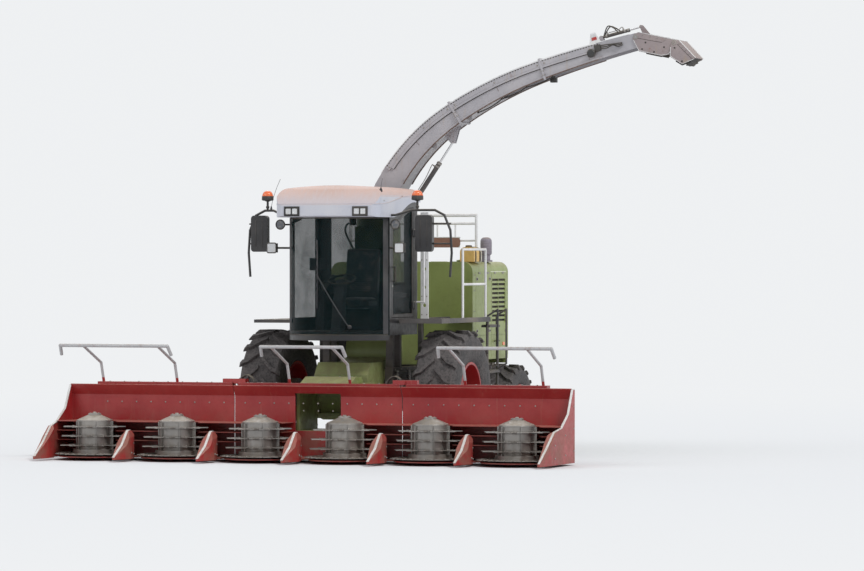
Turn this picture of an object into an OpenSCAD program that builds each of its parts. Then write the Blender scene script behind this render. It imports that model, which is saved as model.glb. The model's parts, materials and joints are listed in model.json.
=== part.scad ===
// Self-propelled forage harvester with a folding rotary maize header.
// The machine is drawn with the front axle at y = 0 and its centre plane at x = 0. It drives
// towards -Y, its left side is +X, and place() moves it so that the origin lies under its middle.

/* [Wheels] */
// Distance between the front and the rear axle
wheelbase = 2900; // [2800:10:3000]
// Outer diameter of a front tyre, over the lugs
front_tyre_d = 1800; // [1740:10:1800]
// Width of a front tyre
front_tyre_w = 650; // [600:10:680]
// Seat diameter of a front rim
front_rim_d = 860; // [800:10:900]
// Distance between the middles of the front tyres
front_track = 2640; // [2600:10:2700]
// Outer diameter of a rear tyre, over the lugs
rear_tyre_d = 1250; // [1200:10:1270]
// Width of a rear tyre
rear_tyre_w = 480; // [440:10:500]
// Seat diameter of a rear rim
rear_rim_d = 620; // [560:10:660]
// Distance between the middles of the rear tyres
rear_track = 2300; // [2280:10:2360]
// Height of a tyre lug
lug_h = 45; // [30:1:55]
// Radius of a wheel spindle
spindle_r = 60; // [50:1:70]
// Distance between the kingpins of the rear wheels
kingpin_track = 1800; // [1760:10:1800]
// Radius of a kingpin
kingpin_r = 30; // [20:1:36]

/* [Chassis] */
// Distance from the centre plane to the middle of a chassis rail
rail_x = 480; // [470:1:490]
// Width of a chassis rail
rail_w = 120; // [90:1:120]
// Height of a chassis rail
rail_h = 240; // [180:1:240]
// Height of the rails' underside over the ground
rail_z = 1030; // [1030:1:1060]
// Place of the rails' rear end
rail_rear_y = 3950; // [3930:1:4000]
// Place of the hitch's rear end
hitch_y = 4200; // [4180:1:4260]
// Radius of the trailer pin's bore
hitch_bore_r = 20; // [15:0.5:25]
// Height of the hitch jaw's middle
hitch_z = 850; // [820:10:900]

/* [Body] */
// Half the width over the side panels
body_x = 1100; // [1100:5:1130]
// Place of the body's front wall
body_front_y = 1500; // [1480:5:1540]
// Place where the tail begins to taper
tail_y = 3100; // [3080:5:3120]
// Place of the tail's rear face
tail_rear_y = 3900; // [3880:5:3940]
// Half the width of the tail's rear end
tail_x = 850; // [800:5:900]
// Height of the body's top edge
body_z = 2770; // [2740:5:2800]
// Height of the panels' lower edge over the rear wheels
arch_z = 1340; // [1330:5:1400]
// Thickness of the body sheets
sheet = 20; // [12:1:24]

/* [Cab] */
// Half the width over the cab's side walls
cab_x = 750; // [740:1:760]
// Place of the windscreen's foremost point
cab_front_y = -1500; // [-1510:5:-1490]
// Place of the cab's rear wall
cab_rear_y = 100; // [90:5:120]
// Place of the A-pillars
pillar_y = -1050; // [-1060:5:-1040]
// Height of the cab's underside
cab_z = 1740; // [1730:5:1750]
// Height of the roof's lower edge at the front
roof_z = 3400; // [3390:5:3420]
// Height of the roof's top
roof_top_z = 3850; // [3820:5:3870]
// Half the width of the roof
roof_x = 780; // [775:1:790]
// Place of the roof's front
roof_front_y = -1600; // [-1620:5:-1580]
// Place of the roof's rear
roof_rear_y = 150; // [140:5:170]
// Rise of the roof's lower edge from the front to the rear
roof_rise = 220; // [160:5:220]
// Thickness of the cab's walls
cab_wall = 40; // [30:1:44]
// Thickness of the glass
glass_t = 6; // [4:1:8]
// Gap round the cab door
door_gap = 8; // [6:1:12]

/* [Header] */
// Width over the header's end dividers
header_w = 7500; // [7440:10:7600]
// Number of rotors on each wing and on the centre frame
rotors_each = 2; // [2:1:2]
// Place of the rotors' axes
rotor_y = -2500; // [-2520:5:-2490]
// Gap between two neighbouring knife discs
knife_gap = 130; // [120:5:200]
// Radius of a rotor's drum
drum_r = 250; // [200:5:280]
// Height of the knife disc's underside
knife_z = 85; // [80:1:95]
// Place of the divider tips
tip_y = -3300; // [-3340:5:-3260]
// Place of the header's rear wall
wall_y = -1900; // [-1910:1:-1895]
// Height of the wings' fold hinges
fold_z = 1100; // [1100:1:1120]
// Radius of a fold hinge's pin
fold_pin_r = 20; // [14:1:22]

/* [Spout] */
// Place of the turret's axis
turret_y = 500; // [490:5:510]
// Height of the turret's ring
ring_z = 3480; // [3470:5:3490]
// Inner width of the spout's duct
spout_w = 336; // [336:2:360]
// Depth of the duct at its foot
foot_depth = 370; // [360:5:380]
// Depth of the duct at its end
end_depth = 210; // [200:5:230]
// Thickness of the duct's plates
plate = 8; // [6:1:9]
// Length of the first outlet flap
flap_1_l = 590; // [560:5:620]
// Length of the second outlet flap
flap_2_l = 370; // [340:5:400]

/* [Hidden] */

// Distance between two rotors
rotor_pitch = header_w / (3 * rotors_each);
knife_r = (rotor_pitch - knife_gap) / 2;

// Running gap round a pin or a spindle
fit = 0.5;
// Gap between a piece and its seat
seat = 0.3;
// Sides of a round bar
round_fn = 32;

rear_y = wheelbase;

// Box between two corners
module slab(x, y, z) {
    translate([x[0], y[0], z[0]]) cube([x[1] - x[0], y[1] - y[0], z[1] - z[0]]);
}

// The same on both sides of the centre plane
module both() {
    children();
    mirror([1, 0, 0]) children();
}

// Round bar between two points
module bar(a, b, r) {
    v = b - a;
    translate(a)
        rotate([0, acos(v[2] / norm(v)), atan2(v[1], v[0])])
            cylinder(r = r, h = norm(v), $fn = round_fn);
}

// Round bar along several points, with a ball at each bend
module bent_bar(points, r) {
    for (i = [0 : len(points) - 2]) bar(points[i], points[i + 1], r);
    for (i = [1 : len(points) - 2]) translate(points[i]) sphere(r = r * 1.04, $fn = round_fn);
}

// Cylinder along X between two places
module x_pin(x, y, z, r) {
    translate([x[0], y, z]) rotate([0, 90, 0]) cylinder(r = r, h = x[1] - x[0], $fn = 64);
}

// Cylinder along Y between two places
module y_pin(x, y, z, r) {
    translate([x, y[0], z]) rotate([-90, 0, 0]) cylinder(r = r, h = y[1] - y[0], $fn = 64);
}

// Cylinder along Z between two heights
module z_pin(x, y, z, r) {
    translate([x, y, z[0]]) cylinder(r = r, h = z[1] - z[0], $fn = 64);
}

// Profile of (y, z) points, extruded across the machine
module side_form(x, points) {
    translate([x[0], 0, 0])
        rotate([90, 0, 90])
            linear_extrude(x[1] - x[0]) polygon(points);
}

// Profile of (x, z) points, extruded along the machine
module front_form(y, points) {
    translate([0, y[1], 0])
        rotate([90, 0, 0])
            linear_extrude(y[1] - y[0]) polygon(points);
}

// Points of an arc round c, from angle a0 to a1
function arc(c, r, a0, a1, n = 6) =
    [for (i = [0 : n]) c + r * [cos(a0 + (a1 - a0) * i / n), sin(a0 + (a1 - a0) * i / n)]];

// Wheels

bead_h = 26;

// Half profile of a tyre's carcass, as (radius, offset) points on a bulging side
function tyre_side(tread_r, w, rim_r, bead_w) = [
    for (i = [0 : 6])
        let (a = -70 + 140 * i / 6, foot_r = rim_r + bead_h)
            [
                (tread_r + foot_r) / 2 + (tread_r - foot_r) / 2 * sin(a) / sin(70),
                bead_w / 2 + (w - bead_w) / 2 * (cos(a) - cos(70)) / (1 - cos(70))
            ]
];

module tyre(d, w, rim_d, lugs) {
    tread_r = d / 2 - lug_h;
    rim_r = rim_d / 2 + seat;
    bead_w = w * 0.82;
    side = tyre_side(tread_r, w, rim_r, bead_w);
    mirrored = [for (i = [len(side) - 1 : -1 : 0]) [side[i][0], -side[i][1]]];
    rotate([0, 90, 0]) {
        rotate_extrude($fn = 96)
            polygon(concat([[rim_r, bead_w / 2]], side, mirrored, [[rim_r, -bead_w / 2]]));
        intersection() {
            rotate_extrude($fn = 96)
                polygon([
                    [tread_r - 60, -w * 0.5], [d / 2 - 40, -w * 0.49], [d / 2, -w * 0.42],
                    [d / 2, w * 0.42], [d / 2 - 40, w * 0.49], [tread_r - 60, w * 0.5]
                ]);
            for (s = [-1, 1], i = [0 : lugs - 1])
                rotate([0, 0, (i + (s > 0 ? 0.5 : 0)) * 360 / lugs])
                    lug(tread_r, w, s);
        }
    }
}

// One slanting lug, from the middle of the tread to the shoulder
module lug(tread_r, w, s) {
    bar_w = w * 0.085;
    sweep = w * 0.34;
    translate([tread_r - 55, 0, 0])
        rotate([0, 90, 0])
            linear_extrude(lug_h + 70)
                polygon([
                    [-s * w * 0.02, 0], [-s * w * 0.3, sweep * 0.8], [-s * w * 0.51, sweep],
                    [-s * w * 0.51, sweep + bar_w * 1.1], [-s * w * 0.28, sweep * 0.8 + bar_w],
                    [-s * w * 0.02, bar_w]
                ]);
}

// Dished rim; side is 1 with the dish open towards +X. disc_x is the place of its disc.
module rim(rim_d, w, disc_x, hub_r, hub_x) {
    rim_r = rim_d / 2;
    bead_w = w * 0.82;
    barrel = 14;
    lip = 12;
    difference() {
        union() {
            rotate([0, 90, 0])
                rotate_extrude($fn = 96)
                    polygon([
                        [rim_r, -bead_w / 2 - seat], [rim_r + 20, -bead_w / 2 - seat],
                        [rim_r + 20, -bead_w / 2 - lip], [rim_r - barrel, -bead_w / 2 - lip],
                        [rim_r - barrel, disc_x - 30], [rim_r - 60, disc_x - 12],
                        [hub_r + 60, disc_x - 70], [0, disc_x - 70],
                        [0, disc_x - 50], [hub_r + 60, disc_x - 50], [rim_r - 60, disc_x + 8],
                        [rim_r - barrel, disc_x + 12],
                        [rim_r - barrel, bead_w / 2 + lip], [rim_r + 20, bead_w / 2 + lip],
                        [rim_r + 20, bead_w / 2 + seat], [rim_r, bead_w / 2 + seat]
                    ]);
            x_pin([disc_x - 100, hub_x], 0, 0, hub_r);
            // stepped cover of the hub's gears
            x_pin([hub_x - 1, hub_x + 40], 0, 0, hub_r * 0.72);
            x_pin([hub_x + 39, hub_x + 62], 0, 0, hub_r * 0.4);
        }
        x_pin([disc_x - 120, hub_x - 40], 0, 0, spindle_r + fit);
        // hand holes through the disc
        for (i = [0 : hand_holes - 1])
            rotate([(i + 0.5) * 360 / hand_holes, 0, 0])
                x_pin([disc_x - 140, disc_x + 60], 0, (rim_r + hub_r) / 2, (rim_r - hub_r) * 0.16);
    }
}

hand_holes = 8;
front_disc_x = 60;
front_hub_r = 170;
front_hub_x = 150;
rear_disc_x = 60;
rear_hub_r = 120;
rear_hub_x = 120;

module at_wheel(track, y, d, side) {
    translate([side * track / 2, y, d / 2]) mirror([side > 0 ? 0 : 1, 0, 0]) children();
}

module front_rim(side) {
    color("firebrick")
        at_wheel(front_track, 0, front_tyre_d, side)
            rim(front_rim_d, front_tyre_w, front_disc_x, front_hub_r, front_hub_x);
}

module front_tyre(side) {
    color("dimgray")
        at_wheel(front_track, 0, front_tyre_d, side)
            tyre(front_tyre_d, front_tyre_w, front_rim_d, 20);
}

module rear_rim(side) {
    color("firebrick")
        at_wheel(rear_track, rear_y, rear_tyre_d, side)
            rim(rear_rim_d, rear_tyre_w, rear_disc_x, rear_hub_r, rear_hub_x);
}

module rear_tyre(side) {
    color("dimgray")
        at_wheel(rear_track, rear_y, rear_tyre_d, side)
            tyre(rear_tyre_d, rear_tyre_w, rear_rim_d, 18);
}

// Chassis

front_z = front_tyre_d / 2;
rear_z = rear_tyre_d / 2;
rail_top = rail_z + rail_h;
rail_front_y = -350;

module chassis_frame() {
    color("dimgray") {
        both()
            slab([rail_x - rail_w / 2, rail_x + rail_w / 2], [rail_front_y, rail_rear_y],
                 [rail_z, rail_top]);
        for (y = [900, 2100, 3700])
            slab([-rail_x, rail_x], [y, y + 120], [rail_z + 20, rail_top - 20]);
        // cab supports
        both() for (y = [-330, -30])
            slab([rail_x - 50, rail_x + 50], [y, y + 80], [rail_top - 5, cab_z - seat]);
        // rear axle saddle
        slab([-rail_x, rail_x], [rear_y - 80, rear_y + 80], [rail_z + 10, rail_z + 130]);
        slab([-90, 90], [rear_y - 80, rear_y + 80], [rear_z + 90 + seat, rail_z + 20]);
        // brackets of the lift cylinders
        both() {
            slab([lift_x - 22, lift_x + 22], [lift_foot[0] - 60, lift_foot[0] + 60],
                 [lift_foot[1] - 50, rail_z + 10]);
            x_pin([lift_x - 50, lift_x + 50], lift_foot[0], lift_foot[1], 20);
        }
    }
}

module front_axle() {
    hub_in = front_track / 2 + front_disc_x - 106;
    color("dimgray") {
        slab([-hub_in + 250, hub_in - 250], [-130, 130], [front_z - 130, rail_z - seat]);
        x_pin([-230, 230], 0, front_z - 10, 165);
        both() {
            x_pin([hub_in - 260, hub_in - 90], 0, front_z, 200);
            x_pin([hub_in - 91, hub_in - 20], 0, front_z, 165);
            x_pin([hub_in - 420, hub_in - 259], 0, front_z, 120);
            x_pin([hub_in - 30, front_track / 2 + front_hub_x - 46], 0, front_z, spindle_r);
        }
    }
}

knuckle_x = kingpin_track / 2;

module rear_axle() {
    color("dimgray") {
        front_form([rear_y - 80, rear_y + 80], [
            [-knuckle_x + 110, rear_z - 62], [-250, rear_z - 95], [250, rear_z - 95],
            [knuckle_x - 110, rear_z - 62], [knuckle_x - 110, rear_z + 62], [250, rear_z + 90],
            [-250, rear_z + 90], [-knuckle_x + 110, rear_z + 62]
        ]);
        both() difference() {
            union() {
                for (z = [rear_z - 120, rear_z + 80]) {
                    z_pin(knuckle_x, rear_y, [z, z + 40], 60);
                    slab([knuckle_x - 130, knuckle_x], [rear_y - 60, rear_y + 60], [z, z + 40]);
                }
                slab([knuckle_x - 130, knuckle_x - 105], [rear_y - 60, rear_y + 60],
                     [rear_z - 120, rear_z + 120]);
            }
            z_pin(knuckle_x, rear_y, [rear_z - 130, rear_z + 130], kingpin_r + fit);
        }
    }
}

module knuckle(side) {
    hub_in = rear_track / 2 + rear_disc_x - 106;
    color("dimgray")
        mirror([side > 0 ? 0 : 1, 0, 0]) {
            z_pin(knuckle_x, rear_y, [rear_z - 124, rear_z + 124], kingpin_r);
            z_pin(knuckle_x, rear_y, [rear_z - 74, rear_z + 74], 62);
            x_pin([knuckle_x, hub_in], rear_y, rear_z, 72);
            x_pin([hub_in - 10, rear_track / 2 + rear_hub_x - 46], rear_y, rear_z, spindle_r);
        }
}

module rear_hitch() {
    jaw_y = hitch_y - 90;
    color("dimgray") {
        slab([-560, 560], [rail_rear_y + seat, rail_rear_y + 150], [rail_z - 330, rail_top]);
        difference() {
            union() {
                for (z = [hitch_z - 75, hitch_z + 45]) {
                    slab([-60, 60], [rail_rear_y + 140, jaw_y], [z, z + 30]);
                    z_pin(0, jaw_y + 30, [z, z + 30], 60);
                }
            }
            z_pin(0, jaw_y + 30, [hitch_z - 90, hitch_z + 90], hitch_bore_r);
        }
    }
}

// Crop path

module chopper_housing() {
    color("darkolivegreen") {
        difference() {
            side_form([-400, 400], [
                [-1000, 620], [-1000, 1180], [-860, 1350], [-360, 1350], [-360, 560], [-900, 560]
            ]);
            side_form([-340, 340], [[-1001, 640], [-1001, 960], [-800, 960], [-800, 640]]);
        }
        x_pin([-399, 399], -620, 900, 370);
        both() x_pin([395, 440], pivot[0], pivot[1], pivot_r);
        // transition over the axle and accelerator drum
        side_form([-330, 330], [[-365, 1300], [-365, 1080], [-140, 1080], [420, 1250], [420, 1500]]);
        x_pin([-330, 330], 360, 1480, 300);
        both() slab([329, rail_x - rail_w / 2 - seat], [-340, -240], [1100, 1240]);
    }
}

module discharge_chute() {
    duct = 8;
    color("olivedrab")
        difference() {
            union() {
                slab([-260, 260], [turret_y - 250, turret_y + 250], [1500, ring_z - 200]);
                z_pin(0, turret_y, [ring_z - 240, ring_z], 300);
                z_pin(0, turret_y, [ring_z - 30, ring_z], 340);
            }
            slab([-260 + duct, 260 - duct], [turret_y - 250 + duct, turret_y + 250 - duct],
                 [1400, ring_z - 260]);
            z_pin(0, turret_y, [ring_z - 300, ring_z + 10], 240);
            x_pin([-330, 330], 360, 1480, 300 + seat);
        }
}

module engine_block() {
    color("slategray")
        slab([-600, 600], [tail_y - 850, tail_y - 90], [rail_top + seat, body_z - 520]);
}

// Body

shoulder_r = 150;
grille_y = [2380, 2980];
grille_z = [1860, 2520];
grille_step = 66;

// Outline of the body seen from the front, open to a lower edge
function body_section(low, inset) = concat(
    [[-body_x + inset, low], [body_x - inset, low]],
    arc([body_x - shoulder_r, body_z - shoulder_r], shoulder_r - inset, 0, 90, 8),
    arc([-body_x + shoulder_r, body_z - shoulder_r], shoulder_r - inset, 90, 180, 8)
);

// Slanting slats of a grille, as (out, z) sections that lie inside an outer face
function slat(z) = [[-sheet, z + 34], [-sheet + 7, z + 34], [-1, z], [-8, z]];

module side_panels() {
    drop_y = rear_y - 800;
    color("yellowgreen") {
        difference() {
            front_form([body_front_y, tail_y], body_section(900, 0));
            front_form([body_front_y + sheet, tail_y + 10], body_section(890, sheet));
            slab([-body_x + sheet, body_x - sheet], [body_front_y - 10, body_front_y + sheet + 1],
                 [890, rail_top + 1]);
            slab([-870, 870], [2285, tail_y + 10], [body_z - 70, body_z + 10]);
            // room over the rear wheels
            side_form([-body_x - 10, body_x + 10], [
                [drop_y, 890], [drop_y + 110, arch_z], [tail_y + 10, arch_z], [tail_y + 10, 890]
            ]);
            both() {
                slab([body_x - sheet - 10, body_x + 10], grille_y, grille_z);
                // seams between the service doors
                for (y = [1640, 2340])
                    slab([body_x - 6, body_x + 10], [y, y + 8], [arch_z + 30, body_z - shoulder_r]);
                slab([body_x - 6, body_x + 10], [1640, tail_y - 40], [1690, 1698]);
            }
        }
        both() {
            for (z = [grille_z[0] : grille_step : grille_z[1] - 30])
                front_form([grille_y[0] - 2, grille_y[1] + 2], [for (p = slat(z)) p + [body_x, 0]]);
            slab([body_x - sheet + 1, body_x - 6], [2672, 2688], [grille_z[0] - 1, grille_z[1] + 1]);
            slab([rail_x + rail_w / 2 - 40, body_x - 1], [body_front_y + 200, body_front_y + 260],
                 [rail_top + seat, rail_top + 60]);
            slab([rail_x + rail_w / 2 - 40, body_x - 1], [tail_y - 80, tail_y - 20],
                 [rail_top + seat, arch_z + 60]);
        }
        // shaft of the cooling screen
        x_pin([-body_x - 43, -body_x + 1], screen_y, screen_z, 20);
        // lugs and pins of the hood's hinges
        both() {
            for (x = [590, 674])
                side_form([x, x + 16], [
                    [hood_front_y - 50, body_z - 1], [hood_front_y - 6, body_z - 1],
                    [hood_front_y + 6, body_z + 6], [hood_front_y + 6, body_z + 26],
                    [hood_front_y - 50, body_z + 26]
                ]);
            x_pin([591, 689], hood_hinge[0], hood_hinge[1], 8);
        }
    }
}

hood_front_y = 2300;
hood_hinge = [hood_front_y - 4, body_z + 16];
tail_grille_x = 520;
tail_grille_z = [1640, 2240];

// Sections of the tail from front to rear: [place, half width, lower edge, top, corner radius]
tail_sections = [
    [tail_y + 6, body_x, arch_z, body_z, shoulder_r],
    [tail_rear_y - 330, tail_x + 90, arch_z, body_z - 25, shoulder_r],
    [tail_rear_y - 90, tail_x - 10, arch_z + 30, body_z - 150, shoulder_r + 30],
    [tail_rear_y, tail_x - 110, arch_z + 120, body_z - 300, shoulder_r]
];

// Rounded tail through its sections, made smaller all round by a wall
module tail_form(inset) {
    hull()
        for (s = tail_sections)
            let (x = s[1] - inset, r = s[4] - inset, y = s[0] - (s[0] == tail_rear_y ? inset : 0))
                front_form([y - 1, y], concat(
                    arc([-x + 60, s[2] + inset + 60], 60, 180, 270, 4),
                    arc([x - 60, s[2] + inset + 60], 60, 270, 360, 4),
                    arc([x - r, s[3] - inset - r], r, 0, 90, 8),
                    arc([-x + r, s[3] - inset - r], r, 90, 180, 8)
                ));
}

module rear_hood() {
    color("yellowgreen") {
        difference() {
            tail_form(0);
            tail_form(sheet);
            front_form([tail_y, tail_y + sheet + 6], body_section(arch_z + sheet, sheet));
            slab([-tail_grille_x, tail_grille_x], [tail_rear_y - sheet - 10, tail_rear_y + 10],
                 tail_grille_z);
        }
        for (z = [tail_grille_z[0] : grille_step : tail_grille_z[1] - 30])
            side_form([-tail_grille_x - 2, tail_grille_x + 2],
                      [for (p = slat(z)) p + [tail_rear_y, 0]]);
        for (x = [-180, 180])
            slab([x - 8, x + 8], [tail_rear_y - sheet + 1, tail_rear_y - 6],
                 [tail_grille_z[0] - 1, tail_grille_z[1] + 1]);
        slab([-865, 865], [hood_front_y, tail_y + 10], [body_z - sheet, body_z]);
        both() difference() {
            union() {
                x_pin([608, 672], hood_hinge[0], hood_hinge[1], 15);
                slab([608, 672], [hood_hinge[0], hood_hinge[0] + 50], [body_z - 1, hood_hinge[1]]);
            }
            x_pin([600, 680], hood_hinge[0], hood_hinge[1], 8 + fit);
        }
    }
}

screen_y = 1980;
screen_z = 2250;
screen_r = 330;

module cooling_screen() {
    color("black")
        difference() {
            x_pin([-body_x - 45, -body_x - 5.5], screen_y, screen_z, screen_r);
            x_pin([-body_x - 37, -body_x + 1], screen_y, screen_z, screen_r - 10);
            x_pin([-body_x - 50, -body_x + 1], screen_y, screen_z, 20 + fit);
        }
}

module fuel_tank() {
    x = [-body_x + sheet + 20, -rail_x - rail_w / 2 - seat];
    z = [rail_z, 1850];
    r = 90;
    y = [front_tyre_d / 2 + 25, body_front_y - 10];
    outline = [for (g = [0, 6]) concat(
        arc([x[0] + r, z[0] + r], r + g, 180, 270, 6), [[x[1], z[0] - g], [x[1], z[1] + g]],
        arc([x[0] + r, z[1] - r], r + g, 90, 180, 6)
    )];
    color("black") {
        front_form(y, outline[0]);
        // two straps
        for (at = [y[0] + 80, y[1] - 130]) front_form([at, at + 50], outline[1]);
        z_pin(x[0] + 160, y[0] + 90, [z[1] - 5, z[1] + 40], 55);
        z_pin(x[0] + 160, y[0] + 90, [z[1] + 39, z[1] + 70], 68);
    }
}

// Cab

screen_mid = 850;
arch_from_y = -1000;
arch_to_y = -100;

// The roof's lower edge: level at the front, rising in a soft S to the rear
edge_steps = 10;
roof_curve = [for (i = [0 : edge_steps])
    [arch_from_y + (arch_to_y - arch_from_y) * i / edge_steps,
     roof_z + roof_rise * (1 - cos(180 * i / edge_steps)) / 2]];

// Height of the roof's lower edge at a place along the cab
function under_roof(y) = lookup(y, roof_curve);

// Points along the roof's lower edge between two places, lowered by a gap
function roof_edge(y0, y1, gap) = [
    for (y = concat([y0], [for (p = roof_curve) if (p[0] > y0 + 2 && p[0] < y1 - 2) p[0]], [y1]))
        [y, under_roof(y) - gap]
];

module cab_frame() {
    pillar = 60;
    window_z = 2480;
    color("gray") {
        // floor, rounded at the front like the windscreen
        intersection() {
            slab([-cab_x, cab_x], [cab_front_y, cab_rear_y], [cab_z, cab_z + 60]);
            union() {
                slab([-cab_x, cab_x], [pillar_y, cab_rear_y], [cab_z, cab_z + 60]);
                z_pin(0, cab_front_y + screen_mid, [cab_z, cab_z + 60], screen_mid - glass_t - 2);
            }
        }
        // sill under the windscreen
        intersection() {
            difference() {
                z_pin(0, cab_front_y + screen_mid, [cab_z - 70, cab_z + 1], screen_mid + 10);
                z_pin(0, cab_front_y + screen_mid, [cab_z - 80, cab_z - 10], screen_mid - 40);
            }
            slab([-cab_x, cab_x], [cab_front_y - 20, pillar_y], [cab_z - 70, cab_z + 1]);
        }
        // side walls with their windows
        both() difference() {
            side_form([cab_x - cab_wall, cab_x], concat(
                [[pillar_y, cab_z + 10]],
                roof_edge(pillar_y, cab_rear_y, seat),
                [[cab_rear_y, cab_z + 10]]
            ));
            side_form([cab_x - cab_wall - 10, cab_x + 10], concat(
                [[door_front_y - door_gap, door_z - door_gap]],
                roof_edge(door_front_y - door_gap, door_rear_y + door_gap, 75),
                [[door_rear_y + door_gap, door_z - door_gap]]
            ));
        }
        // rear wall
        difference() {
            front_form([cab_rear_y - cab_wall, cab_rear_y], [
                [-cab_x + 1, cab_z + 10], [cab_x - 1, cab_z + 10],
                [cab_x - 1, under_roof(cab_rear_y) - seat], [-cab_x + 1, under_roof(cab_rear_y) - seat]
            ]);
            slab([-560, 560], [cab_rear_y - 100, cab_rear_y + 10], [window_z, 3480]);
        }
        // lower halves of the door hinges with their pins
        for (z = door_hinge_z) {
            z_pin(door_hinge[0], door_hinge[1], [z - 16, z - fit], 14);
            z_pin(door_hinge[0], door_hinge[1], [z - 10, z + 86], 8);
            slab([cab_x - 2, door_hinge[0]], [-60, -52], [z - 16, z - fit]);
        }
    }
}

door_front_y = -960;
door_rear_y = -70;
door_z = 1990;
door_t = 30;
door_hinge = [cab_x + 16, door_rear_y + 4];
door_hinge_z = [door_z + 120, door_z + 1150];

crown_r = 5000;
roof_edge_r = 150;
// Pockets for the roof lamps: half the width, depth and heights over the roof's edge
roof_lamp_x = 510;
roof_lamp = [115, 70, 12, 150];

module cab_roof() {
    side_points = concat(
        roof_edge(roof_front_y + 40, roof_rear_y, 0),
        arc([roof_rear_y - 60, roof_top_z - 60], 60, 0, 90, 6),
        arc([roof_front_y + 420, roof_top_z - 500], 500, 90, 118, 8),
        [[roof_front_y, roof_z + 160], [roof_front_y, roof_z + 20]]
    );
    crown = asin((roof_x - roof_edge_r) / crown_r);
    edge_c = [roof_x - roof_edge_r, roof_top_z - crown_r * (1 - cos(crown)) - roof_edge_r];
    color("linen")
        difference() {
            intersection() {
                side_form([-roof_x, roof_x], side_points);
                front_form([roof_front_y - 10, roof_rear_y + 10], concat(
                    [[roof_x, roof_z - 10]],
                    arc(edge_c, roof_edge_r, 0, 80, 8),
                    arc([0, roof_top_z - crown_r], crown_r, 90 - crown, 90 + crown, 8),
                    arc([-edge_c[0], edge_c[1]], roof_edge_r, 100, 180, 8),
                    [[-roof_x, roof_z - 10]]
                ));
                linear_extrude(5000)
                    polygon(concat(
                        arc([roof_x - 140, roof_front_y + 140], 140, -75, 0, 6),
                        [[roof_x, roof_rear_y], [-roof_x, roof_rear_y]],
                        arc([-roof_x + 140, roof_front_y + 140], 140, 180, 255, 6)
                    ));
            }
            slab([-cab_x + cab_wall, cab_x - cab_wall], [roof_front_y + 140, cab_rear_y - cab_wall],
                 [roof_z - 20, roof_z + 100]);
            both()
                slab([roof_lamp_x - roof_lamp[0], roof_lamp_x + roof_lamp[0]],
                     [roof_front_y - 20, roof_front_y + roof_lamp[1]],
                     [roof_z + roof_lamp[2], roof_z + roof_lamp[3]]);
        }
}

// Curved pane between two radii round the windscreen's centre
module cab_glass() {
    color("lightblue") {
        intersection() {
            translate([0, cab_front_y + screen_mid, 0])
                difference() {
                    z_pin(0, 0, [cab_z + 1 + seat, roof_z - seat], screen_mid);
                    z_pin(0, 0, [cab_z - 1, roof_z + 1], screen_mid - glass_t);
                }
            slab([-cab_x + 1, cab_x - 1], [cab_front_y - 10, pillar_y - seat], [cab_z, roof_z]);
        }
        slab([-560 + seat, 560 - seat], [cab_rear_y - 25, cab_rear_y - 19],
             [2480 + seat, 3480 - seat]);
        side_form([-cab_x + 15, -cab_x + 15 + glass_t], concat(
            [[door_front_y - door_gap + seat, door_z - door_gap + seat]],
            roof_edge(door_front_y - door_gap + seat, door_rear_y + door_gap - seat, 75 + seat),
            [[door_rear_y + door_gap - seat, door_z - door_gap + seat]]
        ));
    }
}

module door_outline(x, inset) {
    side_form(x, concat(
        [[door_front_y + inset, door_z + inset]],
        roof_edge(door_front_y + inset, door_rear_y - inset, 75 + door_gap + inset),
        [[door_rear_y - inset, door_z + inset]]
    ));
}

module cab_door() {
    color("gray") {
        difference() {
            door_outline([cab_x - door_t, cab_x], 0);
            door_outline([cab_x - door_t - 10, cab_x + 10], 45);
        }
        // hinge barrels
        for (z = door_hinge_z)
            difference() {
                union() {
                    z_pin(door_hinge[0], door_hinge[1], [z, z + 90], 14);
                    slab([cab_x - 10, door_hinge[0]], [door_rear_y - 60, door_hinge[1] - 9],
                         [z, z + 90]);
                }
                z_pin(door_hinge[0], door_hinge[1], [z - 10, z + 100], 8 + fit);
            }
        bar([cab_x - 5, door_front_y + 25, 2500], [cab_x + 45, door_front_y + 25, 2500], 8);
        bar([cab_x - 5, door_front_y + 25, 2700], [cab_x + 45, door_front_y + 25, 2700], 8);
        bar([cab_x + 42, door_front_y + 25, 2490], [cab_x + 42, door_front_y + 25, 2710], 10);
    }
}

module door_glass() {
    color("lightblue") door_outline([cab_x - 20, cab_x - 20 + glass_t], 45 + seat);
}

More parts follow.
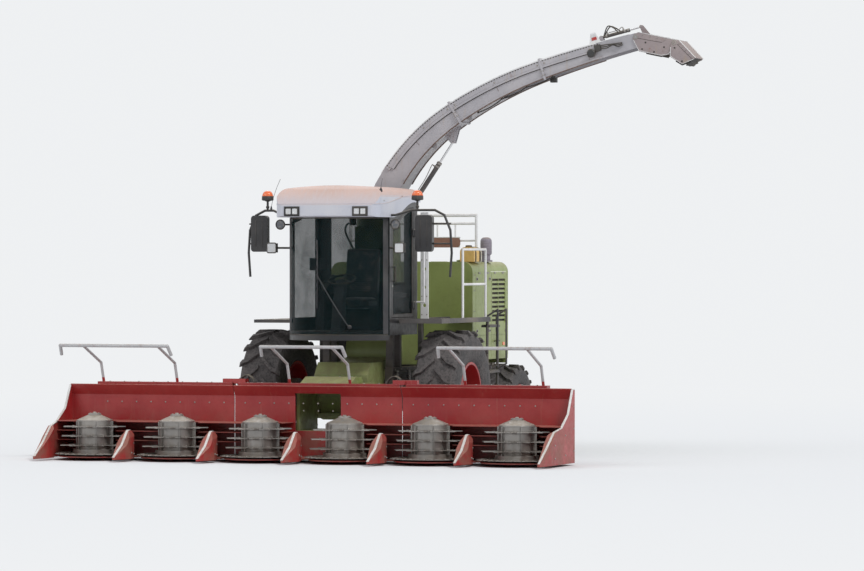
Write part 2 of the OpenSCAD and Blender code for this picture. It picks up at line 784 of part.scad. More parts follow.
module cab_interior() {
    floor_z = cab_z + 60;
    color("darkslategray") {
        // seat on its base, with the armrest and its lever
        slab([-230, 230], [-420, -120], [floor_z + seat, floor_z + 320]);
        side_form([-250, 250], concat(
            [[-120, floor_z + 318], [-130, floor_z + 440]],
            arc([-590, floor_z + 400], 45, 60, 200, 5), [[-560, floor_z + 318]]
        ));
        side_form([-235, 235], concat(
            [[-215, floor_z + 430], [-110, floor_z + 430], [-20, floor_z + 1080]],
            arc([-75, floor_z + 1110], 45, 20, 175, 5)
        ));
        slab([-330, -249], [-560, -130], [floor_z + 520, floor_z + 590]);
        slab([-300, -249], [-240, -180], [floor_z + 380, floor_z + 530]);
        bar([-290, -510, floor_z + 580], [-290, -530, floor_z + 700], 22);
        // side console with the monitor on its stalk
        side_form([-480, -350], [
            [-760, floor_z + seat], [-100, floor_z + seat], [-100, floor_z + 620], [-420, floor_z + 700],
            [-740, floor_z + 560]
        ]);
        bar([-420, -700, floor_z + 560], [-420, -800, floor_z + 900], 14);
        translate([-420, -800, floor_z + 940]) rotate([-15, 0, 25])
            slab([-120, 120], [-15, 25], [-85, 85]);
        // steering column, its foot and the wheel
        side_form([-70, 70], [
            [-1230, floor_z + seat], [-1020, floor_z + seat], [-985, floor_z + 400],
            [-930, floor_z + 690], [-1020, floor_z + 720], [-1130, floor_z + 420]
        ]);
        translate([0, -960, floor_z + 720]) rotate([20, 0, 0]) {
            rotate_extrude($fn = 64) translate([190, 0]) circle(r = 16, $fn = 24);
            for (a = [90, 210, 330]) rotate([0, 0, a]) slab([30, 185], [-18, 18], [-8, 8]);
            z_pin(0, 0, [-40, 12], 48);
        }
    }
}

// Access

// Room between the front tyres and the deck over them
deck_clear = 150;
deck_z = front_tyre_d + deck_clear;
deck_in = 785;
deck_out = 1420;
ladder_y = [1400, 1850];

module platform_ladder() {
    color("gray") {
        slab([deck_in, deck_out], [-750, 1380], [deck_z - 45, deck_z]);
        slab([deck_in, deck_out - 180], [1379, body_front_y - 5], [deck_z - 45, deck_z]);
        slab([rail_x + rail_w / 2 - 30, deck_in + 10], [950, 1040], [deck_z - 45, deck_z - 5]);
        slab([rail_x - 30, rail_x + 30], [950, 1040], [rail_top + seat, deck_z - 5]);
        mirror([1, 0, 0]) {
            slab([deck_in, deck_out], [-750, 690], [deck_z - 45, deck_z]);
            slab([rail_x - 30, deck_in + 10], [560, 640], [deck_z - 45, deck_z - 5]);
            slab([rail_x - 30, rail_x + 30], [560, 640], [rail_top + seat, deck_z - 5]);
        }
        // ladder stiles and steps
        for (y = ladder_y)
            bar([deck_out - 60, y, 480], [deck_out - 60, y, deck_z + 20], 20);
        for (i = [0 : 4])
            slab([deck_out - 150, deck_out - 20], [ladder_y[0] - 5, ladder_y[1] + 5],
                 [500 + i * 330, 530 + i * 330]);
        slab([deck_in + 350, deck_out - 55], [ladder_y[0] - 15, ladder_y[0] + 15],
             [deck_z - 40, deck_z - 5]);
        // kick plates round the deck
        for (x = [deck_in + 1, deck_out - 13])
            slab([x, x + 12], [x > 900 ? -740 : 150, 1370], [deck_z - 1, deck_z + 25]);
        slab([deck_in, deck_out], [-750, -738], [deck_z - 1, deck_z + 25]);
        // grab rails of the ladder
        for (y = [ladder_y[0] + 30, ladder_y[1] - 30])
            bent_bar([[deck_out - 60, y, 1200], [deck_out + 90, y, 1290], [deck_out + 90, y, deck_z + 130],
                      [deck_out - 60, y, deck_z + 40], [deck_out - 60, y, deck_z - 200]], 14);
    }
}

module deck_railing() {
    rail_r = 18;
    color("gainsboro") {
        // railing along the platform's outer edge
        bent_bar([[1350, 350, deck_z + seat], [1350, 350, deck_z + 1000], [1350, 1350, deck_z + 1000],
                  [1350, 1350, deck_z + seat]], rail_r);
        bar([1350, 350, deck_z + 500], [1350, 1350, deck_z + 500], rail_r);
        // portal behind the turret
        both() bent_bar([[920, 2000, body_z + seat], [920, 2000, body_z + 40], [985, 2000, 2990],
                         [985, 2000, 3450], [0, 2000, 3450]], rail_r + 4);
        bar([-985, 2000, 3330], [985, 2000, 3330], rail_r);
        // perforated post behind the door
        difference() {
            slab([790, 905], [125, 150], [deck_z + seat, 3480]);
            for (z = [2150 : 260 : 3400]) y_pin(847, [110, 160], z, 26);
        }
        // grab rail at the cab's rear corner
        bent_bar([[cab_x + seat, 70, 2200], [860, 70, 2200], [860, 70, 2950],
                  [cab_x + seat, 70, 2950]], 14);
        // board on its two drop tubes
        for (x = [380, 660]) bar([x, 2000, 3330], [x, 2000, 3120], 12);
        slab([310, 730], [1992, 2008], [2980, 3130]);
    }
}

// Fittings

mirror_x = [1115, 1365];
arm_y = -950;
arm_z = 3500;
arm_r = 17;
// Outer bend of each mirror's arm: on the left side it stands further out
arm_out = [1640, 1420];

module mirror_set(out) {
    bent_bar([[roof_x + seat, -1060, 3430], [roof_x + 60, -1060, 3430], [1040, arm_y, arm_z], [out - 250, arm_y, arm_z],
              [out - 110, arm_y, 3430], [out - 20, arm_y, 3220], [out, arm_y, 2900],
              [out - 25, arm_y, 2560]], arm_r);
    // mirror body with its rounded housing
    difference() {
        front_form([arm_y - 55, arm_y + 35], concat(
            arc([mirror_x[0] + 45, 2960], 45, 180, 270, 5), arc([mirror_x[1] - 45, 2960], 45, 270, 360, 5),
            arc([mirror_x[1] - 45, 3385], 45, 0, 90, 5), arc([mirror_x[0] + 45, 3385], 45, 90, 180, 5)
        ));
        slab([mirror_x[0] + 14, mirror_x[1] - 14], [arm_y + 22, arm_y + 40], [2930, 3415]);
    }
    for (z = [3030, 3310]) bar([mirror_x[1] - 20, arm_y, z], [out - 12, arm_y, z], 12);
}

module mirrors() {
    color("black") {
        mirror_set(arm_out[0]);
        mirror([1, 0, 0]) mirror_set(arm_out[1]);
    }
}

beacon_x = 1130;

module lamps() {
    color("orange")
        both() {
            z_pin(beacon_x, arm_y, [arm_z + arm_r + seat, 3650], 16);
            z_pin(beacon_x, arm_y, [3645, 3700], 78);
            translate([beacon_x, arm_y, 3700]) sphere(r = 75, $fn = 64);
            // head lamps on their brackets
            slab([895, 1025], [-1230, -1150], [2905, 3035]);
            bent_bar([[cab_x + seat, -1030, 2970], [cab_x + 50, -1030, 2970], [960, -1160, 2970]], 14);
            // lamps in the roof's front
            slab([roof_lamp_x - roof_lamp[0] + seat, roof_lamp_x + roof_lamp[0] - seat],
                 [roof_front_y - 6, roof_front_y + roof_lamp[1] - seat],
                 [roof_z + roof_lamp[2] + seat, roof_z + roof_lamp[3] - seat]);
            // round work lamps under the roof's corners
            bent_bar([[cab_x + seat, -1020, 3300], [cab_x + 40, -1020, 3300], [850, -1080, 3300]], 12);
            translate([865, -1130, 3300]) rotate([-90, 0, 0])
                rotate_extrude($fn = 48)
                    polygon([[0, 0], [62, 0], [66, 20], [48, 70], [22, 90], [0, 90]]);
            // rear lamps on the hitch plate
            slab([470, 700], [rail_rear_y + 150 + seat, rail_rear_y + 215], [rail_top - 150, rail_top - 40]);
        }
}

module exhaust_stack() {
    stack = [-700, 1900];
    color("slategray")
        difference() {
            union() {
                z_pin(stack[0], stack[1], [body_z + seat, body_z + 30], 120);
                z_pin(stack[0], stack[1], [body_z + 29, 3390], 70);
                for (z = [2930, 3150]) z_pin(stack[0], stack[1], [z, z + 30], 82);
            }
            z_pin(stack[0], stack[1], [3100, 3420], 64);
            // slanting mouth
            translate([stack[0], stack[1] - 90, 3340]) rotate([24, 0, 0]) slab([-100, 100], [-20, 220], [0, 120]);
        }
}

module air_intake() {
    color("slategray")
        translate([985, 2440, body_z + seat])
            rotate_extrude($fn = 64)
                polygon(concat(
                    [[0, 0], [95, 0], [95, 22], [62, 22], [62, 96], [82, 112]],
                    arc([24, 300], 60, 0, 88, 8), [[0, 362]]
                ));
}

module additive_tank() {
    x = [870, 1085];
    z = [body_z + seat, body_z + 215];
    r = 75;
    color("khaki") {
        front_form([1600, 1950], concat(
            arc([x[0] + 20, z[0] + 20], 20, 180, 270, 3), arc([x[1] - 20, z[0] + 20], 20, 270, 360, 3),
            arc([x[1] - r, z[1] - r], r, 0, 90, 8), arc([x[0] + r, z[1] - r], r, 90, 180, 8)
        ));
        z_pin(x[0] + 105, 1690, [z[1] - 5, z[1] + 22], 42);
    }
}

// Header

pivot = [-850, 1000];
pivot_r = 40;
feeder_rear_y = -1030;
feeder_x = 380;
lift_x = 500;
lift_foot = [-250, 700];
lift_eye = [-1500, 430];
lift_pin_r = 20;
lift_drift = 6;
beam_y = [wall_y + 15, wall_y + 155];

module feeder_housing() {
    color("firebrick") {
        difference() {
            side_form([-feeder_x, feeder_x], [
                [beam_y[1] + seat, 360], [beam_y[1] + seat, 1020], [-1400, 1160], [-1180, 1160],
                [feeder_rear_y, 1000], [feeder_rear_y, 380]
            ]);
            slab([-340, 340], [-3000, 0], [420, 940]);
        }
        both() {
            difference() {
                union() {
                    x_pin([407, 435], pivot[0], pivot[1], 90);
                    slab([407, 435], [-1300, pivot[0]], [920, 1080]);
                    slab([feeder_x - 1, 434], [-1300, -1200], [921, 1079]);
                }
                x_pin([400, 450], pivot[0], pivot[1], pivot_r + fit);
            }
            slab([feeder_x - 1, lift_x - 23], [lift_eye[0] - 60, lift_eye[0] + 60],
                 [lift_eye[1] - 50, lift_eye[1] + 60]);
            x_pin([lift_x - 30, lift_x + 30], lift_eye[0], lift_eye[1], lift_pin_r);
        }
    }
}

// Heights of a rotor's toothed rings and their radii
rings = [[200, 500], [330, 480], [460, 450]];
ring_t = 12;

// Back wall, beams, belly and rotor spindles of one section
module section_frame(x0, x1, beam_to, mouth) {
    first = ceil((x0 + rotor_pitch / 2) / rotor_pitch) - 0.5;
    places = [for (i = [0 : rotors_each - 1]) (first + i) * rotor_pitch];
    difference() {
        union() {
            // wall, leaning forward over its upper edge
            side_form([x0, x1], [
                [wall_y, 60], [wall_y, 900], [wall_y - 70, 1040], [wall_y - 62, 1048],
                [wall_y + 15, 906], [wall_y + 15, 60]
            ]);
            slab([x0 + 40, beam_to], beam_y, [940, 1080]);
            slab([x0 + 40, x1 - 40], [wall_y + 14, wall_y + 110], [120, 220]);
            // ribs on the rear of the wall
            for (x = [x0 + 60 : (x1 - x0 - 134) / 4 : x1 - 70])
                side_form([x, x + 14], [
                    [wall_y + 14, 215], [wall_y + 70, 215], [wall_y + 40, 560], [wall_y + 120, 945],
                    [wall_y + 14, 945]
                ]);
            // shelves that strip the crop from between the toothed rings
            for (ring = rings)
                translate([0, 0, ring[0] + 70])
                    linear_extrude(8)
                        difference() {
                            translate([x0, rotor_y + 40]) square([x1 - x0, wall_y - rotor_y - 39]);
                            for (x = places) translate([x, rotor_y]) circle(r = drum_r + 60, $fn = 96);
                        }
        }
        if (mouth) {
            slab([-340, 340], [-2500, -1000], [420, 940.5]);
            slab([-360, 360], [-2500, wall_y], [100, 900]);
        }
    }
    slab([x0, x1], [rotor_y, wall_y + 5], [45, 60]);
    for (x = places) {
        z_pin(x, rotor_y, [45, 60], 500);
        z_pin(x, rotor_y, [55, 78], 130);
        z_pin(x, rotor_y, [70, 560], 45);
        // skid under the belly, gearbox and drive shaft behind the wall
        side_form([x - 55, x + 55], [
            [rotor_y - 420, 50], [rotor_y - 300, 25], [wall_y, 25], [wall_y, 50]
        ]);
        z_pin(x, wall_y + 75, [219, 420], 60);
        x_pin([x - 90, x + 90], wall_y + 75, 320, 50);
    }
    x_pin([places[0], places[rotors_each - 1]], wall_y + 75, 320, 24);
}

// Divider snout between two rotors, on a keel that joins the belly beside or under it
module divider(x, keel) {
    slab([x + keel - 45, x + keel + 45], [-2700, rotor_y + 5], [45, 60]);
    translate([x, 0, 0])
        intersection() {
            linear_extrude(900)
                polygon(concat(
                    [[100, -2900], [55, -2680], [-55, -2680], [-100, -2900]],
                    arc([0, tip_y + 14], 14, 200, 340, 4)
                ));
            side_form([-200, 200], concat(
                [[tip_y, 35], [tip_y, 62], [-3000, 225]],
                arc([-2760, 340], 90, 120, 20, 4), [[-2680, 35]]
            ));
            front_form([-3400, -2600], [[-110, 30], [110, 30], [72, 330], [18, 440], [-18, 440], [-72, 330]]);
        }
}

// Tall crop bar on its two arms, bent down at both ends
module crop_bar(x0, x1, arms) {
    bar_y = -2550;
    bar_z = 1600;
    color("gainsboro") {
        bent_bar([[x0 - 20, bar_y + 90, bar_z - 130], [x0, bar_y, bar_z], [x1, bar_y, bar_z],
                  [x1 + 20, bar_y + 90, bar_z - 130]], 24);
        for (x = arms)
            bent_bar([[x, beam_y[0] + 60, 1075], [x, beam_y[0] - 40, 1350], [x, bar_y, bar_z]], 20);
    }
}

module header_centre() {
    section_x = rotor_pitch * rotors_each / 2;
    color("firebrick") {
        section_frame(-section_x + 5, section_x - 5, section_x - 45, true);
        for (x = [-section_x, 0, section_x]) divider(x, x == 0 ? 0 : -sign(x) * 60);
        crop_bar(-600, 600, [-450, 450]);
        both() {
            for (y = [[wall_y + 20, wall_y + 38], [wall_y + 135, wall_y + 153]]) {
                y_pin(section_x, y, fold_z, 35);
                slab([section_x - 150, section_x], y, [fold_z - 35, fold_z + 35]);
            }
            y_pin(section_x, [wall_y + 20, wall_y + 153], fold_z, fold_pin_r);
        }
    }
}

module header_wing() {
    section_x = rotor_pitch * rotors_each / 2;
    end_x = header_w / 2;
    color("firebrick") {
        section_frame(section_x + 5, end_x - 20, end_x - 400, false);
        divider(section_x + rotor_pitch, 0);
        // end divider
        intersection() {
            slab([end_x - 110, end_x], [tip_y, wall_y + 15], [30, 1100]);
            side_form([end_x - 120, end_x + 10], [
                [tip_y, 30], [tip_y, 66], [-3000, 250], [-2700, 470], [-2450, 520], [-2150, 700],
                [wall_y - 60, 1030], [wall_y + 15, 1030], [wall_y + 15, 30]
            ]);
            linear_extrude(1100)
                polygon([[end_x - 70, tip_y], [end_x - 40, tip_y], [end_x, -2900], [end_x, wall_y + 20],
                         [end_x - 24, wall_y + 20], [end_x - 24, -2600], [end_x - 110, -2750],
                         [end_x - 110, -2900]]);
        }
        crop_bar(section_x + 750, end_x - 120, [section_x + 900, end_x - 470]);
        difference() {
            union() {
                y_pin(section_x, [wall_y + 44, wall_y + 129], fold_z, 35);
                slab([section_x, section_x + 200], [wall_y + 44, wall_y + 129],
                     [fold_z - 35, fold_z + 35]);
            }
            y_pin(section_x, [wall_y, wall_y + 200], fold_z, fold_pin_r + fit);
        }
    }
}

// Gear-like outline with hooked teeth
function toothed(r_root, r_tip, teeth, hook) = [
    for (i = [0 : teeth - 1], k = [0 : 2])
        let (a = (i + [0, hook, 0.62][k]) * 360 / teeth, r = [r_root, r_tip, r_root][k])
            [r * cos(a), r * sin(a)]
];

module rotor(x) {
    color("gray")
        translate([x, rotor_y, 0])
            difference() {
                union() {
                    translate([0, 0, knife_z])
                        linear_extrude(8) polygon(toothed(knife_r - 35, knife_r, 30, 0.5));
                    z_pin(0, 0, [knife_z, 150], 300);
                    z_pin(0, 0, [150, 560], drum_r);
                    translate([0, 0, 560]) cylinder(r1 = drum_r, r2 = 90, h = 70, $fn = 64);
                    z_pin(0, 0, [629, 650], 90);
                    for (ring = rings)
                        translate([0, 0, ring[0]])
                            linear_extrude(ring_t)
                                polygon(toothed(drum_r + 40, ring[1], 12, 0.3));
                    // fins on the drum
                    for (a = [0 : 60 : 300])
                        rotate([0, 0, a]) slab([drum_r - 10, drum_r + 32], [-6, 6], [150, 540]);
                }
                z_pin(0, 0, [50, 566], 45 + fit);
            }
}

module lift_barrels() {
    a = [lift_foot[0], lift_foot[1]];
    b = [lift_eye[0], lift_eye[1]];
    u = (b - a) / norm(b - a);
    color("dimgray")
        both() difference() {
            union() {
                for (x = [lift_x - 42, lift_x + 26]) x_pin([x, x + 16], a[0], a[1], 45);
                for (x = [lift_x - 42, lift_x + 26])
                    bar([x + 8, a[0], a[1]], [x + 8, a[0] + u[0] * 120, a[1] + u[1] * 120], 7);
                bar([lift_x, a[0] + u[0] * 100, a[1] + u[1] * 100],
                    [lift_x, a[0] + u[0] * 1000, a[1] + u[1] * 1000], 45);
            }
            x_pin([lift_x - 50, lift_x + 50], a[0], a[1], 20 + fit);
            bar([lift_x, a[0] + u[0] * 500, a[1] + u[1] * 500],
                [lift_x, a[0] + u[0] * 1010, a[1] + u[1] * 1010], 18 + fit);
        }
}

module lift_rods() {
    a = [lift_foot[0], lift_foot[1]];
    b = [lift_eye[0], lift_eye[1]];
    u = (b - a) / norm(b - a);
    color("silver")
        both() difference() {
            union() {
                bar([lift_x, a[0] + u[0] * 700, a[1] + u[1] * 700],
                    [lift_x, b[0] - u[0] * 20, b[1] - u[1] * 20], 18);
                x_pin([lift_x - 20, lift_x + 20], b[0], b[1], 45);
            }
            x_pin([lift_x - 60, lift_x + 60], b[0], b[1], lift_pin_r + lift_drift);
        }
}

// Spout

joint_h = [190, ring_z + 320];
foot_angle = 60;
// Bends of the duct from foot to end: [turn in degrees, length]
bends = [[27, 1350], [15, 1500], [5, 1500]];
duct_length = bends[0][1] + bends[1][1] + bends[2][1];
duct_foot = joint_h + 90 * [cos(foot_angle), sin(foot_angle)];

// Direction of the duct's middle line at a length from its foot
function heading(s) =
    s <= bends[0][1] ? foot_angle - bends[0][0] * s / bends[0][1]
    : s <= bends[0][1] + bends[1][1]
        ? foot_angle - bends[0][0] - bends[1][0] * (s - bends[0][1]) / bends[1][1]
        : foot_angle - bends[0][0] - bends[1][0]
          - bends[2][0] * (s - bends[0][1] - bends[1][1]) / bends[2][1];

duct_steps = 24;
step_l = duct_length / duct_steps;

// Points of the duct's middle line
function mid_line(i) =
    i == 0 ? duct_foot
           : mid_line(i - 1) + step_l * [cos(heading((i - 0.5) * step_l)), sin(heading((i - 0.5) * step_l))];

mid_points = [for (i = [0 : duct_steps]) mid_line(i)];

function duct_depth(i) = foot_depth + (end_depth - foot_depth) * i / duct_steps;

// A line beside the middle line; side is 1 for the top and -1 for the bottom
function duct_edge(side, inset, from = 0, to = duct_steps) = [
    for (i = [from : to])
        let (a = heading(i * step_l))
            mid_points[i] + side * (duct_depth(i) / 2 - inset) * [-sin(a), cos(a)]
];

function reversed(list) = [for (i = [len(list) - 1 : -1 : 0]) list[i]];

// Profile of (x, z) points, as wide as the duct and centred on the turret
module duct_form(w, points) {
    front_form([turret_y - w / 2, turret_y + w / 2], points);
}

spout_out = spout_w + 2 * plate;

// Both flaps lie along their own middle line: u runs along it and v up from it
flap_dir_1 = -12;
flap_dir_2 = -46;
flap_hinge_1 = mid_points[duct_steps] + [-10, end_depth / 2 - 55];
flap_hinge_2 = flap_hinge_1 + turned([flap_1_l - 15, 30], flap_dir_1);
spout_tip = flap_hinge_2 + turned([flap_2_l, 40], flap_dir_2);
flap_top = 62;

function turned(v, a) = [v[0] * cos(a) - v[1] * sin(a), v[0] * sin(a) + v[1] * cos(a)];

neck_r = 150;

// Front edge of the turret's neck, round where the duct swings past it
function neck_front(inset) = concat(
    arc(joint_h, neck_r - inset, foot_angle - 90, foot_angle - 135, 6),
    [[290 - inset * 2, ring_z + 60]]
);

module spout_turret() {
    a = foot_angle;
    u = [cos(a), sin(a)];
    n = [-sin(a), cos(a)];
    neck_w = spout_w - 12;
    color("lightgray") {
        difference() {
            union() {
                z_pin(0, turret_y, [ring_z + ring_gap, ring_z + 90], 290);
                duct_form(neck_w, concat(
                    [[-280, ring_z + 60], joint_h + neck_r * n], neck_front(0)
                ));
            }
            duct_form(neck_w - 2 * plate, concat(
                [[-270 + plate, ring_z - 10], [-270 + plate, ring_z + 60]],
                [joint_h + (neck_r - plate) * n + 10 * u, joint_h - (neck_r - plate) * n + 10 * u],
                neck_front(plate), [[280 - plate, ring_z - 10]]
            ));
            z_pin(0, turret_y, [ring_z, ring_z + 70], 235);
            z_pin(0, turret_y, [ring_z, ring_z + 66], 236);
        }
        for (y = [turret_y - neck_w / 2 - 45, turret_y + neck_w / 2 - 1])
            y_pin(joint_h[0], [y, y + 46], joint_h[1], 30);
        // bracket of the lift cylinder
        for (y = [turret_y - 34, turret_y + 22]) {
            front_form([y, y + 12], [for (p = [[-240, -60], [-240, 15], [-30, 30], [10, -26]])
                                         spout_foot + p]);
            y_pin(spout_foot[0], [y, y + 12], spout_foot[1], foot_pin_r + 12);
        }
        y_pin(spout_foot[0], [turret_y - 33, turret_y + 33], spout_foot[1], foot_pin_r);
    }
}

foot_pin_r = 14;
ring_gap = 0.6;
eye_w = 21.5;
spout_foot = [510, ring_z + 75];
spout_eye = joint_h + [970, 700];

rail_out = 22;
rail_to = 21;
collars = [8, 16];

module spout_tube() {
    bottom_to = 12;
    u = [cos(foot_angle), sin(foot_angle)];
    n = [-sin(foot_angle), cos(foot_angle)];
    end_u = [cos(heading(duct_length)), sin(heading(duct_length))];
    foot_in = foot_depth / 2 - plate;
    color("lightgray") {
        difference() {
            union() {
                duct_form(spout_out, concat(
                    duct_edge(1, 0), reversed(duct_edge(-1, 0)),
                    arc(joint_h, 188, foot_angle - 90, foot_angle - 270, 12)
                ));
                // rail along the top edge and seam along the bottom edge
                duct_form(spout_out + 2 * rail_out, concat(
                    duct_edge(1, 22, 1, rail_to), reversed(duct_edge(1, 88, 1, rail_to))));
                duct_form(spout_out + rail_out, concat(
                    duct_edge(-1, 30, 1, rail_to), reversed(duct_edge(-1, 3, 1, rail_to))));
                // collars where the duct's lengths are bolted together
                for (i = collars)
                    translate([mid_points[i][0], turret_y, mid_points[i][1]])
                        rotate([0, -heading(i * step_l), 0])
                            slab([-16, 16], [-spout_out / 2 - 30, spout_out / 2 + 30],
                                 [-duct_depth(i) / 2 - 24, duct_depth(i) / 2 + 24]);
            }
            duct_form(spout_w, concat(
                [joint_h - 220 * u + foot_in * n],
                duct_edge(1, plate), [duct_edge(1, plate)[duct_steps] + 30 * end_u],
                [duct_edge(-1, -60)[duct_steps] + 30 * end_u],
                reversed(duct_edge(-1, -60, bottom_to)), reversed(duct_edge(-1, plate, 0, bottom_to)),
                [joint_h + 10 * u - foot_in * n, joint_h + 10 * u - 210 * n, joint_h - 220 * u - 210 * n]
            ));
            y_pin(joint_h[0], [turret_y - 400, turret_y + 400], joint_h[1], 30 + fit);
        }
        // eye of the lift cylinder
        for (y = [turret_y - 34, turret_y + 22])
            difference() {
                front_form([y, y + 12], [for (p = [[-160, 110], [120, 275], [30, -30], [-30, -30]])
                                             spout_eye + p]);
                y_pin(spout_eye[0], [y - 5, y + 20], spout_eye[1], foot_pin_r / 2);
            }
        // foot of the flap cylinder and pins of the first flap
        for (y = [turret_y - 34, turret_y + 22])
            front_form([y, y + 12], [
                flap_foot + [-90, -90], flap_foot + [-18, 18], flap_foot + [18, 18],
                flap_foot + [60, -70]
            ]);
        y_pin(flap_foot[0], [turret_y - 33, turret_y + 33], flap_foot[1], foot_pin_r);
        for (y = [turret_y - flap_w_1 / 2 - plate - 4, turret_y + spout_out / 2 - 1])
            y_pin(flap_hinge_1[0], [y, y + flap_gap + plate + 5], flap_hinge_1[1], flap_pin_r);
    }
}

module spout_barrel() {
    cylinder_barrel(spout_foot, spout_eye, 34, 780, 20);
}

module spout_rod() {
    cylinder_rod(spout_foot, spout_eye, 16, 500, 28);
}

// Barrel of a cylinder in the spout's plane: a is its foot, b the rod's eye
module cylinder_barrel(a, b, r, length, rod_r) {
    u = (b - a) / norm(b - a);
    color("dimgray")
        difference() {
            union() {
                y_pin(a[0], [turret_y - eye_w, turret_y + eye_w], a[1], foot_pin_r + 12);
                bar([a[0], turret_y, a[1]],
                    [a[0] + u[0] * 70, turret_y, a[1] + u[1] * 70], 18);
                bar([a[0] + u[0] * 60, turret_y, a[1] + u[1] * 60],
                    [a[0] + u[0] * length, turret_y, a[1] + u[1] * length], r);
            }
            y_pin(a[0], [turret_y - 60, turret_y + 60], a[1], foot_pin_r + fit);
            bar([a[0] + u[0] * length * 0.4, turret_y, a[1] + u[1] * length * 0.4],
                [a[0] + u[0] * (length + 10), turret_y, a[1] + u[1] * (length + 10)], rod_r + fit);
        }
}

module cylinder_rod(a, b, rod_r, from, eye_r) {
    u = (b - a) / norm(b - a);
    color("silver")
        difference() {
            union() {
                bar([a[0] + u[0] * from, turret_y, a[1] + u[1] * from], [b[0], turret_y, b[1]], rod_r);
                y_pin(b[0], [turret_y - eye_w, turret_y + eye_w], b[1], eye_r);
            }
            y_pin(b[0], [turret_y - 60, turret_y + 60], b[1], eye_r * 0.5);
        }
}

// Channel open at its underside: two cheeks and a top plate, with bored cheeks at its hinge
module flap(hinge, dir, w_in, outline, top_from, top_to, pin_r) {
    color("lightgray")
        translate([hinge[0], 0, hinge[1]]) rotate([0, -dir, 0]) difference() {
            union() {
                for (y = [turret_y - w_in / 2 - plate, turret_y + w_in / 2])
                    front_form([y, y + plate], outline);
                front_form([turret_y - w_in / 2 - 1, turret_y + w_in / 2 + 1], [
                    [top_from, flap_top], [top_from, flap_top + plate],
                    [top_to, flap_top + plate], [top_to, flap_top]
                ]);
            }
            y_pin(0, [turret_y - w_in, turret_y + w_in], 0, pin_r + fit);
        }
}

flap_gap = 6;
flap_pin_r = 14;
flap_w_1 = spout_out + 2 * flap_gap;
flap_out_1 = flap_w_1 + 2 * plate;
flap_w_2 = flap_out_1 + 2 * flap_gap;
lever_eye = flap_hinge_1 + [30, 150];
flap_foot = flap_hinge_1 + [-560, 5];

module spout_flap_1() {
    flap(flap_hinge_1, flap_dir_1, flap_w_1, [
        [-40, -30], [-30, 30], [20, flap_top + plate], [flap_1_l, flap_top + plate],
        [flap_1_l, 0], [flap_1_l - 60, -150], [flap_1_l - 160, -190], [90, -190], [-20, -60]
    ], 25, flap_1_l, flap_pin_r);
    color("lightgray") {
        // pins of the second flap
        for (y = [turret_y - flap_w_2 / 2 - plate - 4, turret_y + flap_out_1 / 2 - 1])
            y_pin(flap_hinge_2[0], [y, y + flap_gap + plate + 5], flap_hinge_2[1], flap_pin_r);
        // lever of the flap cylinder
        for (y = [turret_y - 34, turret_y + 22])
            difference() {
                union() {
                    y_pin(lever_eye[0], [y, y + 12], lever_eye[1], 24);
                    front_form([y, y + 12], [
                        lever_eye + [-22, 8], flap_hinge_1 + turned([40, flap_top + 4], flap_dir_1),
                        flap_hinge_1 + turned([150, flap_top + 4], flap_dir_1), lever_eye + [20, 14]
                    ]);
                }
                y_pin(lever_eye[0], [y - 5, y + 20], lever_eye[1], 8);
            }
    }
}

module spout_flap_2() {
    flap(flap_hinge_2, flap_dir_2, flap_w_2, [
        [-32, -24], [-24, 24], [18, flap_top + plate], [flap_2_l, flap_top + plate],
        [flap_2_l, 40], [flap_2_l - 70, -130], [100, -180], [10, -90]
    ], 25, flap_2_l, flap_pin_r);
}

module flap_barrel() {
    cylinder_barrel(flap_foot, lever_eye, 24, 430, 12);
}

module flap_rod() {
    cylinder_rod(flap_foot, lever_eye, 12, 260, 20);
}

// The origin lies under the middle of the machine, between the header's end and the spout's tip
mid_x = (spout_tip[0] - header_w / 2) / 2;
mid_y = (hitch_y + tip_y) / 2;

module place() {
    translate([-mid_x, -mid_y, 0]) children();
}

// One line for each node

place() chassis_frame();
place() front_axle();
place() rear_axle();
place() chopper_housing();
place() discharge_chute();
place() engine_block();
place() side_panels();
place() fuel_tank();
place() cab_frame();
place() cab_roof();
place() cab_glass();
place() cab_interior();
place() platform_ladder();
place() deck_railing();
place() mirrors();
place() lamps();
place() exhaust_stack();
place() air_intake();
place() additive_tank();
place() rear_hitch();
place() rear_hood();
place() cooling_screen();
place() cab_door();
place() door_glass();
place() front_rim(1);  // front_rim_left
place() front_tyre(1);  // front_tyre_left
place() front_rim(-1);  // front_rim_right
place() front_tyre(-1);  // front_tyre_right
place() knuckle(1);  // knuckle_left
place() knuckle(-1);  // knuckle_right
place() rear_rim(1);  // rear_rim_left
place() rear_tyre(1);  // rear_tyre_left
place() rear_rim(-1);  // rear_rim_right
place() rear_tyre(-1);  // rear_tyre_right
place() feeder_housing();
place() header_centre();
place() lift_barrels();
place() lift_rods();
place() header_wing();  // header_wing_left
place() mirror([1, 0, 0]) header_wing();  // header_wing_right
place() rotor(-2.5 * rotor_pitch);  // rotor_1
place() rotor(-1.5 * rotor_pitch);  // rotor_2
place() rotor(-0.5 * rotor_pitch);  // rotor_3
place() rotor(0.5 * rotor_pitch);  // rotor_4
place() rotor(1.5 * rotor_pitch);  // rotor_5
place() rotor(2.5 * rotor_pitch);  // rotor_6
place() spout_turret();
place() spout_tube();
place() spout_barrel();
place() spout_rod();
place() spout_flap_1();
place() spout_flap_2();
place() flap_barrel();
place() flap_rod();
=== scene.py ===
import json
from math import atan, atan2, cos, pi, radians, sin, sqrt, tan

import bmesh
import bpy
from mathutils import Matrix, Vector


